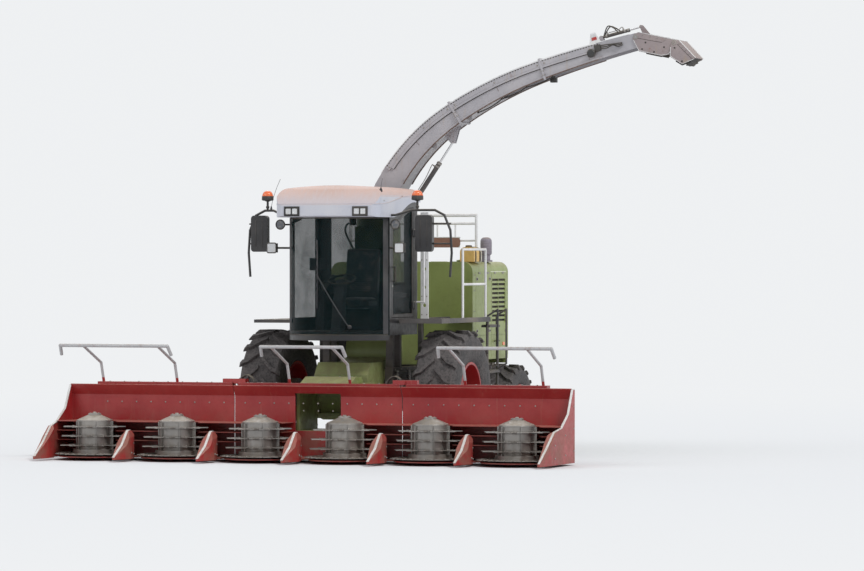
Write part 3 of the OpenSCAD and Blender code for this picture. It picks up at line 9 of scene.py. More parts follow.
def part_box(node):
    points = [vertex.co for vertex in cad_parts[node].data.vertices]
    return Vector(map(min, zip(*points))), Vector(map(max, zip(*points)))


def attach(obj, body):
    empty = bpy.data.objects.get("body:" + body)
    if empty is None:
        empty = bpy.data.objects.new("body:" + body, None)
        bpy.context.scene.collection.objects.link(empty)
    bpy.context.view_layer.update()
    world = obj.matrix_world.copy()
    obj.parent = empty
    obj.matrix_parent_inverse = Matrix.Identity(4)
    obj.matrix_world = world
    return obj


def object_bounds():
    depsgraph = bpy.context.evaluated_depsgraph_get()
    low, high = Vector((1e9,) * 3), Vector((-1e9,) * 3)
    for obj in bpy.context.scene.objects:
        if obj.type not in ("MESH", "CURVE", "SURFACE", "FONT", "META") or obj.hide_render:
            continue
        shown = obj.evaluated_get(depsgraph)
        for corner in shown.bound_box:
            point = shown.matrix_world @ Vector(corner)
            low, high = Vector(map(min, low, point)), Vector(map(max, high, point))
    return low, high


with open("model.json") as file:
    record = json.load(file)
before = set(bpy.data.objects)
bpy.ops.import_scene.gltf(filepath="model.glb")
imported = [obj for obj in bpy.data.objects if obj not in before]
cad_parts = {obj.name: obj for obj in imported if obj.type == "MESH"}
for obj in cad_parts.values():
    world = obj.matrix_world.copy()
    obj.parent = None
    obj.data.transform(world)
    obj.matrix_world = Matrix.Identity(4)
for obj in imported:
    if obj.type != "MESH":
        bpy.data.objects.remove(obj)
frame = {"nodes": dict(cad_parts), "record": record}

CAD_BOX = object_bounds()
NODES = frame["nodes"]
SCENE = bpy.context.scene
SIDES = (-1, 1)
UP = Vector((0, 0, 1))
AHEAD = Vector((0, -1, 0))
BEHIND = Vector((0, 1, 0))
ACROSS = Vector((1, 0, 0))

# The machine's own axes: its centre plane is x = 0 and its front axle y = 0, in metres
HITCH_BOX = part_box("rear_hitch")
AXLE_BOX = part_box("front_axle")
CENTRE_X = (HITCH_BOX[0].x + HITCH_BOX[1].x) / 2
AXLE_Y = (AXLE_BOX[0].y + AXLE_BOX[1].y) / 2


def at(x, y, z):
    """A point in the machine's axes, turned into the frame's."""
    return Vector((x + CENTRE_X, y + AXLE_Y, z))


def line(*rows, side=1):
    """Points in the machine's axes, for the left side or mirrored for the right one."""
    return [at(side * x, y, z) for x, y, z in rows]


def stand(x, y, z=0.0):
    return Matrix.Translation(at(x, y, z))


def turned(degrees, axis):
    return Matrix.Rotation(radians(degrees), 4, axis)


def polar(radius, angle, height=0.0):
    return Vector((radius * cos(angle), radius * sin(angle), height))


def facing(point, normal, spin=0.0):
    """Turns local +Z to normal at a point."""
    turn = Vector(normal).to_track_quat("Z", "Y").to_matrix().to_4x4()
    return Matrix.Translation(point) @ turn @ Matrix.Rotation(spin, 4, "Z")


def add_object(name, data):
    made = bpy.data.objects.new(name, data)
    SCENE.collection.objects.link(made)
    return made


def both_sides(build):
    """Runs a builder for the left side and for the right side."""
    for side, word in ((1, "left"), (-1, "right")):
        build(side, word)


# Camera: the photograph's place and distance, from its horizon and the cab's sides. The whole
# header shows, so the camera is turned until the cab stands this far right of its photographed place.
PHOTO_WIDTH = 864
SENSOR = 36.0
FOCAL_PX = 4600
CAB_AZIMUTH = radians(21)
CAB_PX = 193
TURN_PX = 128
PAN = atan((PHOTO_WIDTH / 2 - CAB_PX - TURN_PX) / FOCAL_PX)
LOOK_DOWN = radians(0.38)
CAMERA_PLACE = at(23.0, -61.7, 2.87)


def make_camera():
    data = bpy.data.cameras.new("camera")
    data.sensor_width = SENSOR
    data.lens = FOCAL_PX * SENSOR / PHOTO_WIDTH
    data.clip_end = 500
    camera = add_object("camera", data)
    azimuth = CAB_AZIMUTH - PAN
    forward = Vector((-sin(azimuth), cos(azimuth), -tan(LOOK_DOWN)))
    camera.location = CAMERA_PLACE
    camera.rotation_euler = forward.to_track_quat("-Z", "Y").to_euler()
    SCENE.camera = camera


class Tree:
    """Node tree of a material or world. An input given as a socket is linked, a plain value is set."""

    def __init__(self, owner):
        owner.use_nodes = True
        self.owner = owner
        self.nodes = owner.node_tree.nodes
        self.nodes.clear()

    def node(self, kind, inputs, **settings):
        made = self.nodes.new("ShaderNode" + kind)
        for key, value in settings.items():
            setattr(made, key, value)
        for key, value in inputs.items():
            socket = made.inputs[key]
            if isinstance(value, bpy.types.NodeSocket):
                self.owner.node_tree.links.new(value, socket)
            else:
                plain = socket.type == "RGBA" and len(value) == 3
                socket.default_value = (*value, 1) if plain else value
        return made

    def math(self, operation, a, b, clamp=False):
        return self.node("Math", {0: a, 1: b}, operation=operation, use_clamp=clamp).outputs[0]

    def product(self, a, b):
        return self.math("MULTIPLY", a, b)

    def total(self, a, b, clamp=False):
        return self.math("ADD", a, b, clamp)

    def larger(self, a, b):
        return self.math("MAXIMUM", a, b)

    def ramp(self, value, low, high, to_low=0.0, to_high=1.0):
        """value from low..high to to_low..to_high, clamped and smooth."""
        inputs = {"Value": value, "From Min": low, "From Max": high, "To Min": to_low, "To Max": to_high}
        return self.node("MapRange", inputs, interpolation_type="SMOOTHSTEP").outputs["Result"]

    def mix(self, factor, a, b):
        return self.node("Mix", {0: factor, 6: a, 7: b}, data_type="RGBA").outputs[2]

    def noise(self, place, scale, detail=4.0, roughness=0.55, stretch=None):
        if stretch:
            place = self.node("Mapping", {"Vector": place, "Scale": stretch}).outputs[0]
        inputs = {"Vector": place, "Scale": scale, "Detail": detail, "Roughness": roughness}
        return self.node("TexNoise", inputs).outputs["Fac"]

    def coords(self):
        return self.node("TexCoord", {}).outputs

    def split(self, vector):
        return self.node("SeparateXYZ", {0: vector}).outputs

    def bump(self, height, strength, distance, **more):
        inputs = {"Height": height, **more, "Strength": strength, "Distance": distance}
        return self.node("Bump", inputs).outputs[0]

    def seen_rays(self):
        """1 for camera, mirror and glass rays, which see the plain backdrop."""
        path = self.node("LightPath", {}).outputs
        seen = self.larger(path["Is Camera Ray"], path["Is Glossy Ray"])
        return self.larger(seen, path["Is Transmission Ray"])

    def blend(self, factor, first, second, output):
        """Mixes two shader nodes into the output."""
        both = self.node("MixShader", {0: factor, 1: first.outputs[0], 2: second.outputs[0]})
        self.node(output, {"Surface": both.outputs[0]})

    def surface(self, inputs):
        """Principled shader and output, and the material they belong to."""
        shader = self.node("BsdfPrincipled", inputs)
        self.node("OutputMaterial", {"Surface": shader.outputs[0]})
        return self.owner


def fresh_tree(name):
    return Tree(bpy.data.materials.new(name))


# Stage
BACKGROUND = (0.86, 0.875, 0.89)
FLOOR_R = 150
FLOOR_SIDES = 96
FADE_FROM = 7
FADE_TO = 30
# Suns: name, azimuth and height they shine from in degrees, strength, softness in degrees
SUNS = [
    ("key", 62, 48, 1.45, 14),
    ("fill", -55, 32, 0.35, 40),
    ("back", 200, 40, 0.45, 30),
]


def make_stage():
    mesh = bpy.data.meshes.new("floor")
    ring = [polar(FLOOR_R, 2 * pi * i / FLOOR_SIDES) for i in range(FLOOR_SIDES)]
    mesh.from_pydata(ring, [], [list(range(FLOOR_SIDES))])
    floor = add_object("floor", mesh)
    floor.location = (0, 0, CAD_BOX[0].z)
    t = fresh_tree("floor")
    place = t.coords()["Object"]
    distance = t.node("VectorMath", {0: place}, operation="LENGTH").outputs["Value"]
    far = t.product(t.ramp(distance, FADE_FROM, FADE_TO), t.seen_rays())
    near_floor = t.node("BsdfDiffuse", {"Color": (0.78, 0.785, 0.79)})
    far_floor = t.node("Emission", {"Color": BACKGROUND, "Strength": 1.0})
    t.blend(far, near_floor, far_floor, "OutputMaterial")
    mesh.materials.append(t.owner)


def make_world():
    t = Tree(bpy.data.worlds.new("studio"))
    light = t.node("Background", {"Color": (0.93, 0.96, 1.0), "Strength": 0.62})
    shown = t.node("Background", {"Color": BACKGROUND, "Strength": 1.0})
    t.blend(t.seen_rays(), light, shown, "OutputWorld")
    SCENE.world = t.owner


def make_lights():
    for name, azimuth, height, strength, softness in SUNS:
        data = bpy.data.lights.new(name, "SUN")
        data.energy = strength
        data.angle = radians(softness)
        a = radians(azimuth)
        e = radians(height)
        towards = Vector((-sin(a) * cos(e), cos(a) * cos(e), -sin(e)))
        add_object(name, data).rotation_euler = towards.to_track_quat("-Z", "Y").to_euler()


# Materials: colours, and the radius in metres over which edges wear
DUST = (0.40, 0.31, 0.21)
PALE_DUST = (0.56, 0.47, 0.37)
MUD = (0.17, 0.125, 0.085)
BARE = (0.33, 0.31, 0.30)
RUST = (0.19, 0.07, 0.03)
EDGE_R = 0.006


def shade(colour, by, plus=0.0):
    return tuple(min(1.0, c * by + plus) for c in colour)


def weathered(
    name, colour, fade=None, rough=0.42, metallic=0.0, coat=0.0, top_dust=0.42, all_dust=0.06, low_mud=0.0,
    mud_height=(0.4, 1.3), worn=0.5, worn_colour=BARE, streaks=0.1, relief=0.12, relief_scale=9.0, zone=None,
    rust=0.0,
):
    """Painted or bare surface with faded patches, dust on what faces up, run-down streaks,
    mud near the ground and edges worn to worn_colour. zone is a second paint over a height,
    and rust the share of rusty patches."""
    t = fresh_tree(name)
    coords = t.coords()
    place = coords["Object"]
    up = t.split(coords["Normal"])["Z"]
    height = t.split(place)["Z"]
    broad = t.noise(place, 1.3, 5.0)
    fine = t.noise(place, 17.0, 6.0, 0.65)
    runs = t.noise(place, 5.0, 5.0, 0.6, stretch=(3.2, 3.2, 0.35))
    surface = t.mix(t.ramp(broad, 0.35, 0.68), colour, fade or shade(colour, 1.22, 0.02))
    if zone:
        zone_from, paint = zone
        other = t.mix(t.ramp(broad, 0.35, 0.68), paint, shade(paint, 1.15, 0.02))
        surface = t.mix(t.ramp(height, zone_from - 0.004, zone_from + 0.004), surface, other)
    surface = t.mix(t.ramp(fine, 0.5, 0.8, 0, 0.45), surface, shade(colour, 0.72))
    # edges worn through, where the rounded normal leaves the flat one
    edge_normal = t.node("Bevel", {"Radius": EDGE_R}, samples=4).outputs[0]
    flat = t.node("NewGeometry", {}).outputs["Normal"]
    along = t.node("VectorMath", {0: edge_normal, 1: flat}, operation="DOT_PRODUCT")
    edge = t.ramp(along.outputs["Value"], 0.99, 0.86)
    chips = t.ramp(t.noise(place, 38.0, 4.0, 0.7), 0.47, 0.6)
    surface = t.mix(t.product(t.product(edge, chips), worn), surface, worn_colour)
    if rust:
        blotches = t.ramp(t.noise(place, 3.1, 9.0, 0.72), 0.60, 0.70, 0.0, rust)
        surface = t.mix(blotches, surface, RUST)
    # dust on top, thin dust all over, and streaks under it
    settled = t.product(t.ramp(up, 0.15, 0.95), t.ramp(fine, 0.25, 0.6, 0.35, 1.0))
    settled = t.product(settled, top_dust)
    thin = t.product(t.ramp(broad, 0.3, 0.75), all_dust)
    run_mask = t.product(t.ramp(runs, 0.52, 0.74), streaks)
    dust = t.larger(settled, t.larger(thin, run_mask))
    surface = t.mix(dust, surface, DUST)
    roughness = t.total(t.ramp(fine, 0.3, 0.7, rough - 0.06, rough + 0.1), 0.0)
    roughness = t.total(roughness, t.product(dust, 0.45), clamp=True)
    if low_mud:
        low = t.ramp(height, mud_height[1], mud_height[0])
        patches = t.ramp(t.noise(place, 4.5, 8.0, 0.7), 0.36, 0.62)
        mud = t.product(t.product(low, patches), low_mud)
        surface = t.mix(mud, surface, MUD)
        roughness = t.total(roughness, t.product(mud, 0.4), clamp=True)
    grain = t.noise(place, relief_scale * 12, 3.0)
    dents = t.noise(place, relief_scale * 0.35, 2.0)
    bump = t.bump(t.total(t.product(grain, 0.05), dents), relief, 0.02, Normal=edge_normal)
    coated = {"Metallic": metallic, "Coat Weight": coat, "Coat Roughness": 0.25}
    return t.surface({"Base Color": surface, "Roughness": roughness, "Normal": bump, **coated})


def glass_material(name, tint, alpha, rough=0.06):
    t = fresh_tree(name)
    place = t.coords()["Object"]
    film = t.ramp(t.noise(place, 2.6, 6.0, 0.62), 0.4, 0.75, alpha, min(1.0, alpha + 0.12))
    specks = t.ramp(t.noise(place, 60.0, 3.0, 0.8), 0.70, 0.80, 0.0, 0.22)
    return t.surface({
        "Base Color": t.mix(specks, tint, PALE_DUST),
        "Alpha": t.total(film, specks, clamp=True),
        "Roughness": t.ramp(film, alpha, alpha + 0.12, rough, rough + 0.2),
        "Specular IOR Level": 0.1,
    })


def tyre_material(name, centre, rim_r, tread_r):
    """Dusty rubber with moulded rings on the side walls round centre."""
    t = fresh_tree(name)
    place = t.coords()["Object"]
    out = t.node("VectorMath", {0: place, 1: centre}, operation="SUBTRACT").outputs[0]
    parts = t.split(out)
    square = t.total(t.product(parts["Y"], parts["Y"]), t.product(parts["Z"], parts["Z"]))
    radius = t.node("Math", {0: square}, operation="SQRT").outputs[0]
    share = t.ramp(radius, rim_r, tread_r)
    rings = t.node("Math", {0: t.product(radius, 2 * pi / 0.034)}, operation="SINE").outputs[0]
    rings = t.product(rings, t.ramp(share, 0.62, 0.55))
    broad = t.noise(place, 2.4, 6.0, 0.65)
    fine = t.noise(place, 30.0, 6.0, 0.7)
    surface = t.mix(t.ramp(fine, 0.35, 0.7), (0.018, 0.018, 0.02), (0.05, 0.047, 0.048))
    dusty = t.ramp(broad, 0.35, 0.62, 0.18, 0.62)
    outer = t.ramp(radius, tread_r * 0.86, tread_r + 0.03, 0.0, 0.4)
    dusty = t.total(dusty, outer, clamp=True)
    surface = t.mix(t.product(dusty, t.ramp(fine, 0.2, 0.6)), surface, (0.155, 0.140, 0.135))
    bump = t.bump(t.total(t.product(rings, 0.22), fine), 0.35, 0.008)
    roughness = t.ramp(dusty, 0.1, 0.9, 0.62, 0.95)
    inputs = {"Base Color": surface, "Roughness": roughness, "Normal": bump, "Specular IOR Level": 0.35}
    return t.surface(inputs)


def lens_material(name, colour, glow=0.0):
    """Moulded lens: clear over a ribbed, bright back."""
    t = fresh_tree(name)
    place = t.coords()["Object"]
    wave = t.node("TexWave", {"Vector": place, "Scale": 26.0, "Distortion": 0.0}, bands_direction="X")
    ribs = wave.outputs["Fac"]
    surface = t.mix(ribs, shade(colour, 0.55), colour)
    surface = t.mix(t.ramp(t.noise(place, 30.0), 0.45, 0.75, 0.0, 0.3), surface, PALE_DUST)
    bump = t.bump(ribs, 0.25, 0.003)
    inputs = {"Base Color": surface, "Normal": bump, "Roughness": 0.16, "Coat Weight": 0.6}
    if glow:
        inputs.update({"Emission Color": colour, "Emission Strength": glow})
    return t.surface(inputs)


def roof_material(name):
    """Pale moulding: clean and bluish on its sides, with tan dust that has run down its front."""
    t = fresh_tree(name)
    coords = t.coords()
    place = coords["Object"]
    normal = t.split(coords["Normal"])
    height = t.split(place)["Z"]
    specks = t.noise(place, 95.0, 3.0, 0.7)
    runs = t.noise(place, 30.0, 4.0, 0.6, stretch=(1.0, 0.35, 0.22))
    broad = t.noise(place, 1.7, 4.0, 0.5)
    surface = t.mix(t.ramp(broad, 0.35, 0.7), (0.50, 0.52, 0.60), (0.60, 0.61, 0.66))
    sideways = t.node("Math", {0: normal["X"]}, operation="ABSOLUTE").outputs[0]
    open_sky = t.ramp(normal["Z"], 0.02, 0.42)
    front = t.product(t.ramp(sideways, 0.75, 0.3), t.ramp(height, 3.570, 3.625, 0.08, 0.8))
    cover = t.larger(open_sky, front)
    cover = t.product(cover, t.ramp(runs, 0.25, 0.60, 0.78, 1.0))
    dust = t.mix(t.ramp(broad, 0.3, 0.7), (0.72, 0.48, 0.385), (0.61, 0.395, 0.31))
    dust = t.mix(t.ramp(height, 3.58, 3.80), (0.56, 0.48, 0.48), dust)
    surface = t.mix(t.product(cover, 0.85), surface, dust)
    surface = t.mix(t.ramp(specks, 0.56, 0.66, 0.0, 0.55), surface, (0.66, 0.60, 0.58))
    surface = t.mix(t.ramp(specks, 0.40, 0.30, 0.0, 0.35), surface, (0.30, 0.22, 0.19))
    lumps = t.total(specks, t.product(broad, 2.0))
    bump = t.bump(lumps, 0.12, 0.006)
    roughness = t.ramp(cover, 0.0, 0.8, 0.38, 0.85)
    return t.surface({"Base Color": surface, "Roughness": roughness, "Normal": bump, "Coat Weight": 0.1})


def cloth_material(name, colour, second):
    """Woven cover: crossed threads, a mottled second colour and dust."""
    t = fresh_tree(name)
    place = t.coords()["Object"]
    inputs = {"Vector": place, "Scale": 90.0, "Distortion": 0.6}
    waves = [t.node("TexWave", inputs, bands_direction=axis).outputs["Fac"] for axis in "XYZ"]
    weave = t.product(t.total(waves[0], waves[2]), waves[1])
    patch = t.noise(place, 7.0, 5.0, 0.6)
    surface = t.mix(t.ramp(weave, 0.2, 1.4), colour, second)
    surface = t.mix(t.ramp(patch, 0.45, 0.75, 0.0, 0.35), surface, DUST)
    bump = t.bump(weave, 0.5, 0.0015)
    return t.surface({"Base Color": surface, "Normal": bump, "Roughness": 0.9, "Sheen Weight": 0.3})


RED = (0.30, 0.009, 0.012)
RED_FADED = (0.37, 0.020, 0.022)
BLACK = (0.018, 0.018, 0.02)
# Height over the ground from which the header's top is grey
CROP_BAR_FROM = 1.137
RED_LOOK = dict(fade=RED_FADED, rough=0.36, coat=0.15, top_dust=0.34, mud_height=(0.1, 0.9))
RUSTING = dict(worn_colour=RUST)
SHINY = dict(top_dust=0.1, worn=0.0, relief=0.0)
# Weathered finishes: colour, and what differs from the usual wear
FINISHES = {
    "green_paint": ((0.235, 0.285, 0.085), dict(rough=0.38, coat=0.15, low_mud=0.5, mud_height=(0.8, 1.9))),
    "red_paint": (RED, dict(RED_LOOK, low_mud=0.45)),
    "header_paint": (RED, dict(RED_LOOK, low_mud=0.5, zone=(CROP_BAR_FROM, (0.42, 0.42, 0.43)), rust=0.3)),
    "grey_paint": ((0.36, 0.355, 0.37), dict(RUSTING, rough=0.46, top_dust=0.35, all_dust=0.1, streaks=0.3)),
    "spout_paint": (
        (0.37, 0.36, 0.385), dict(RUSTING, top_dust=0.25, all_dust=0.12, worn=0.6, streaks=0.35, rust=0.55),
    ),
    "flap_paint": (
        (0.295, 0.245, 0.25),
        dict(RUSTING, rough=0.5, top_dust=0.4, all_dust=0.22, worn=0.8, streaks=0.5, rust=0.6),
    ),
    "white_paint": ((0.72, 0.72, 0.72), dict(RUSTING, rough=0.4, top_dust=0.5, worn=0.35)),
    "cab_black": (
        (0.010, 0.010, 0.012),
        dict(rough=0.36, coat=0.2, top_dust=0.3, all_dust=0.04, streaks=0.04, worn=0.1),
    ),
    "dark_paint": (
        (0.055, 0.055, 0.06), dict(rough=0.5, top_dust=0.6, all_dust=0.3, low_mud=0.7, mud_height=(0.5, 1.6)),
    ),
    "black_plastic": (BLACK, dict(rough=0.5, top_dust=0.45, all_dust=0.12, worn=0.1)),
    "lamp_body": (BLACK, dict(rough=0.45, top_dust=0.4, all_dust=0.1, worn=0.1)),
    "rubber": ((0.02, 0.02, 0.021), dict(rough=0.72, top_dust=0.4, all_dust=0.2, worn=0.0)),
    "hose": (
        (0.014, 0.014, 0.015),
        dict(rough=0.52, top_dust=0.5, all_dust=0.15, worn=0.0, relief=0.4, relief_scale=26),
    ),
    "mesh": ((0.03, 0.03, 0.032), dict(rough=0.6, all_dust=0.35, worn=0.0, relief=0.0)),
    "bolts": ((0.30, 0.285, 0.27), dict(metallic=0.7, top_dust=0.3, all_dust=0.25, worn=0.0, rust=0.6)),
    "strap": ((0.03, 0.03, 0.03), dict(rough=0.65, top_dust=0.4, worn=0.0)),
    "pale_strap": ((0.62, 0.60, 0.50), dict(rough=0.6, top_dust=0.4, worn=0.0)),
    "board": (
        (0.235, 0.105, 0.075), dict(rough=0.6, top_dust=0.5, all_dust=0.3, worn_colour=(0.5, 0.45, 0.4)),
    ),
    "pale_edge": ((0.60, 0.63, 0.47), dict(rough=0.5, top_dust=0.3, worn=0.2)),
    "rust_edge": ((0.115, 0.06, 0.045), dict(rough=0.75, top_dust=0.3, all_dust=0.2, worn=0.4, relief=0.3)),
    "tank_plastic": ((0.66, 0.42, 0.12), dict(rough=0.45, worn=0.1)),
    "intake_plastic": ((0.20, 0.185, 0.235), dict(rough=0.6, top_dust=0.5, all_dust=0.25, worn=0.1)),
    "cast_iron": ((0.085, 0.085, 0.09), dict(rough=0.6, low_mud=0.8, relief=0.3, relief_scale=14)),
    "steel": (
        (0.27, 0.26, 0.25),
        dict(rough=0.36, metallic=0.75, worn_colour=(0.6, 0.6, 0.6), all_dust=0.2, low_mud=0.4,
             mud_height=(0.05, 0.5)),
    ),
    "chrome": ((0.62, 0.62, 0.63), dict(SHINY, rough=0.14, metallic=1.0, all_dust=0.05, relief=0.02)),
    "mirror": ((0.75, 0.77, 0.78), dict(SHINY, rough=0.09, metallic=1.0, all_dust=0.12)),
    "screen_face": ((0.008, 0.011, 0.014), dict(SHINY, rough=0.14, all_dust=0.05)),
    "exhaust_steel": ((0.16, 0.13, 0.115), dict(RUSTING, rough=0.45, metallic=0.6, worn=1.0, rust=0.6)),
    "trim": ((0.035, 0.036, 0.04), dict(rough=0.7, top_dust=0.2, worn=0.0)),
}
MATERIALS = {name: weathered(name, colour, **wear) for name, (colour, wear) in FINISHES.items()}
MATERIALS["roof_paint"] = roof_material("roof_paint")
MATERIALS["fabric"] = cloth_material("fabric", (0.03, 0.032, 0.037), (0.085, 0.09, 0.10))
MATERIALS["glass"] = glass_material("glass", (0.004, 0.015, 0.017), 0.34)
# the amber lens glows faintly; on the side reflectors, which are no lamps, this glow is painted light
MATERIALS["amber"] = lens_material("amber", (0.95, 0.16, 0.02), glow=0.12)
MATERIALS["clear_lens"] = lens_material("clear_lens", (0.86, 0.87, 0.88))
MATERIALS["red_lens"] = lens_material("red_lens", (0.55, 0.02, 0.015))
MATERIALS["dark_lens"] = lens_material("dark_lens", (0.13, 0.14, 0.16))
# CAD nodes that show another material than their slot's
NODE_LOOK = {
    "cab_roof": "roof_paint",
    "lamps": "lamp_body",
    "header_centre": "header_paint",
    "header_wing_left": "header_paint",
    "header_wing_right": "header_paint",
    "spout_tube": "spout_paint",
    "spout_flap_1": "flap_paint",
    "spout_flap_2": "flap_paint",
    "air_intake": "intake_plastic",
    "cab_frame": "cab_black",
    "cab_door": "cab_black",
    "mirrors": "cab_black",
}
# How far a tyre's moulded side wall ends below its lugs' tips
LUG_HEIGHT = 0.05


def dress_nodes():
    """Gives each CAD node the material of its slot in the record."""
    slots = {s["node"]: s["material_slot"] for s in frame["record"]["subparts"]}
    for name, piece in NODES.items():
        if "_tyre_" in name:
            lo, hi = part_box(name)
            rim_lo, rim_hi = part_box(name.replace("tyre", "rim"))
            rim_r = (rim_hi.z - rim_lo.z) / 2
            look = tyre_material(name, (lo + hi) / 2, rim_r, (hi.z - lo.z) / 2 - LUG_HEIGHT)
        else:
            look = MATERIALS[NODE_LOOK.get(name, slots[name])]
        piece.data.materials.clear()
        piece.data.materials.append(look)
        for slot in piece.material_slots:
            slot.material = look


# Pieces: the record's slots, and the looks of theirs that have another name
SLOT_LOOKS = {
    "lamp_plastic": "amber clear_lens red_lens dark_lens lamp_body",
    "white_paint": "roof_paint",
    "trim": "fabric pale_strap screen_face",
    "black_plastic": "rubber mesh hose strap intake_plastic cab_black",
    "chrome": "mirror",
    "steel": "bolts",
    "red_paint": "header_paint",
    "grey_paint": "spout_paint flap_paint rust_edge",
    "dark_paint": "board",
    "green_paint": "pale_edge",
}
LOOK_SLOT = {look: slot for slot, looks in SLOT_LOOKS.items() for look in looks.split()}


def shares(start, extent, count):
    """Evenly spaced numbers from start on."""
    return [start + extent * k / count for k in range(count + 1)]


def scaled(v, by):
    return Vector([a * b for a, b in zip(v, by)])


def rounded(width, height, radius, steps=4):
    """Outline of a rectangle with round corners, centred on the origin."""
    points = []
    for cx, cy, start in ((1, 1, 0), (-1, 1, 90), (-1, -1, 180), (1, -1, 270)):
        for i in range(steps + 1):
            a = radians(start + 90 * i / steps)
            x = cx * (width / 2 - radius) + radius * cos(a)
            points.append((x, cy * (height / 2 - radius) + radius * sin(a)))
    return points


def smooth_path(points, steps=6):
    """Catmull-Rom curve through given points."""
    points = [Vector(p) for p in points]
    ends = [points[0] * 2 - points[1]] + points + [points[-1] * 2 - points[-2]]
    path = []
    for i in range(1, len(ends) - 2):
        a, b, c, d = ends[i - 1 : i + 3]
        for k in range(steps):
            t = k / steps
            curve = 2 * b + (c - a) * t + (2 * a - 5 * b + 4 * c - d) * t * t
            path.append(0.5 * (curve + (3 * b - a - 3 * c + d) * t ** 3))
    path.append(points[-1])
    return path


def direction(path, i):
    return (path[min(i + 1, len(path) - 1)] - path[max(i - 1, 0)]).normalized()


def path_frames(path):
    """Side and up directions along a path, without twist."""
    frames = []
    side = None
    for i, point in enumerate(path):
        along = direction(path, i)
        if side is None:
            side = along.cross(UP)
            if side.length < 0.05:
                side = along.cross(BEHIND)
        side = (side - along * side.dot(along)).normalized()
        frames.append((point, side, along.cross(side)))
    return frames


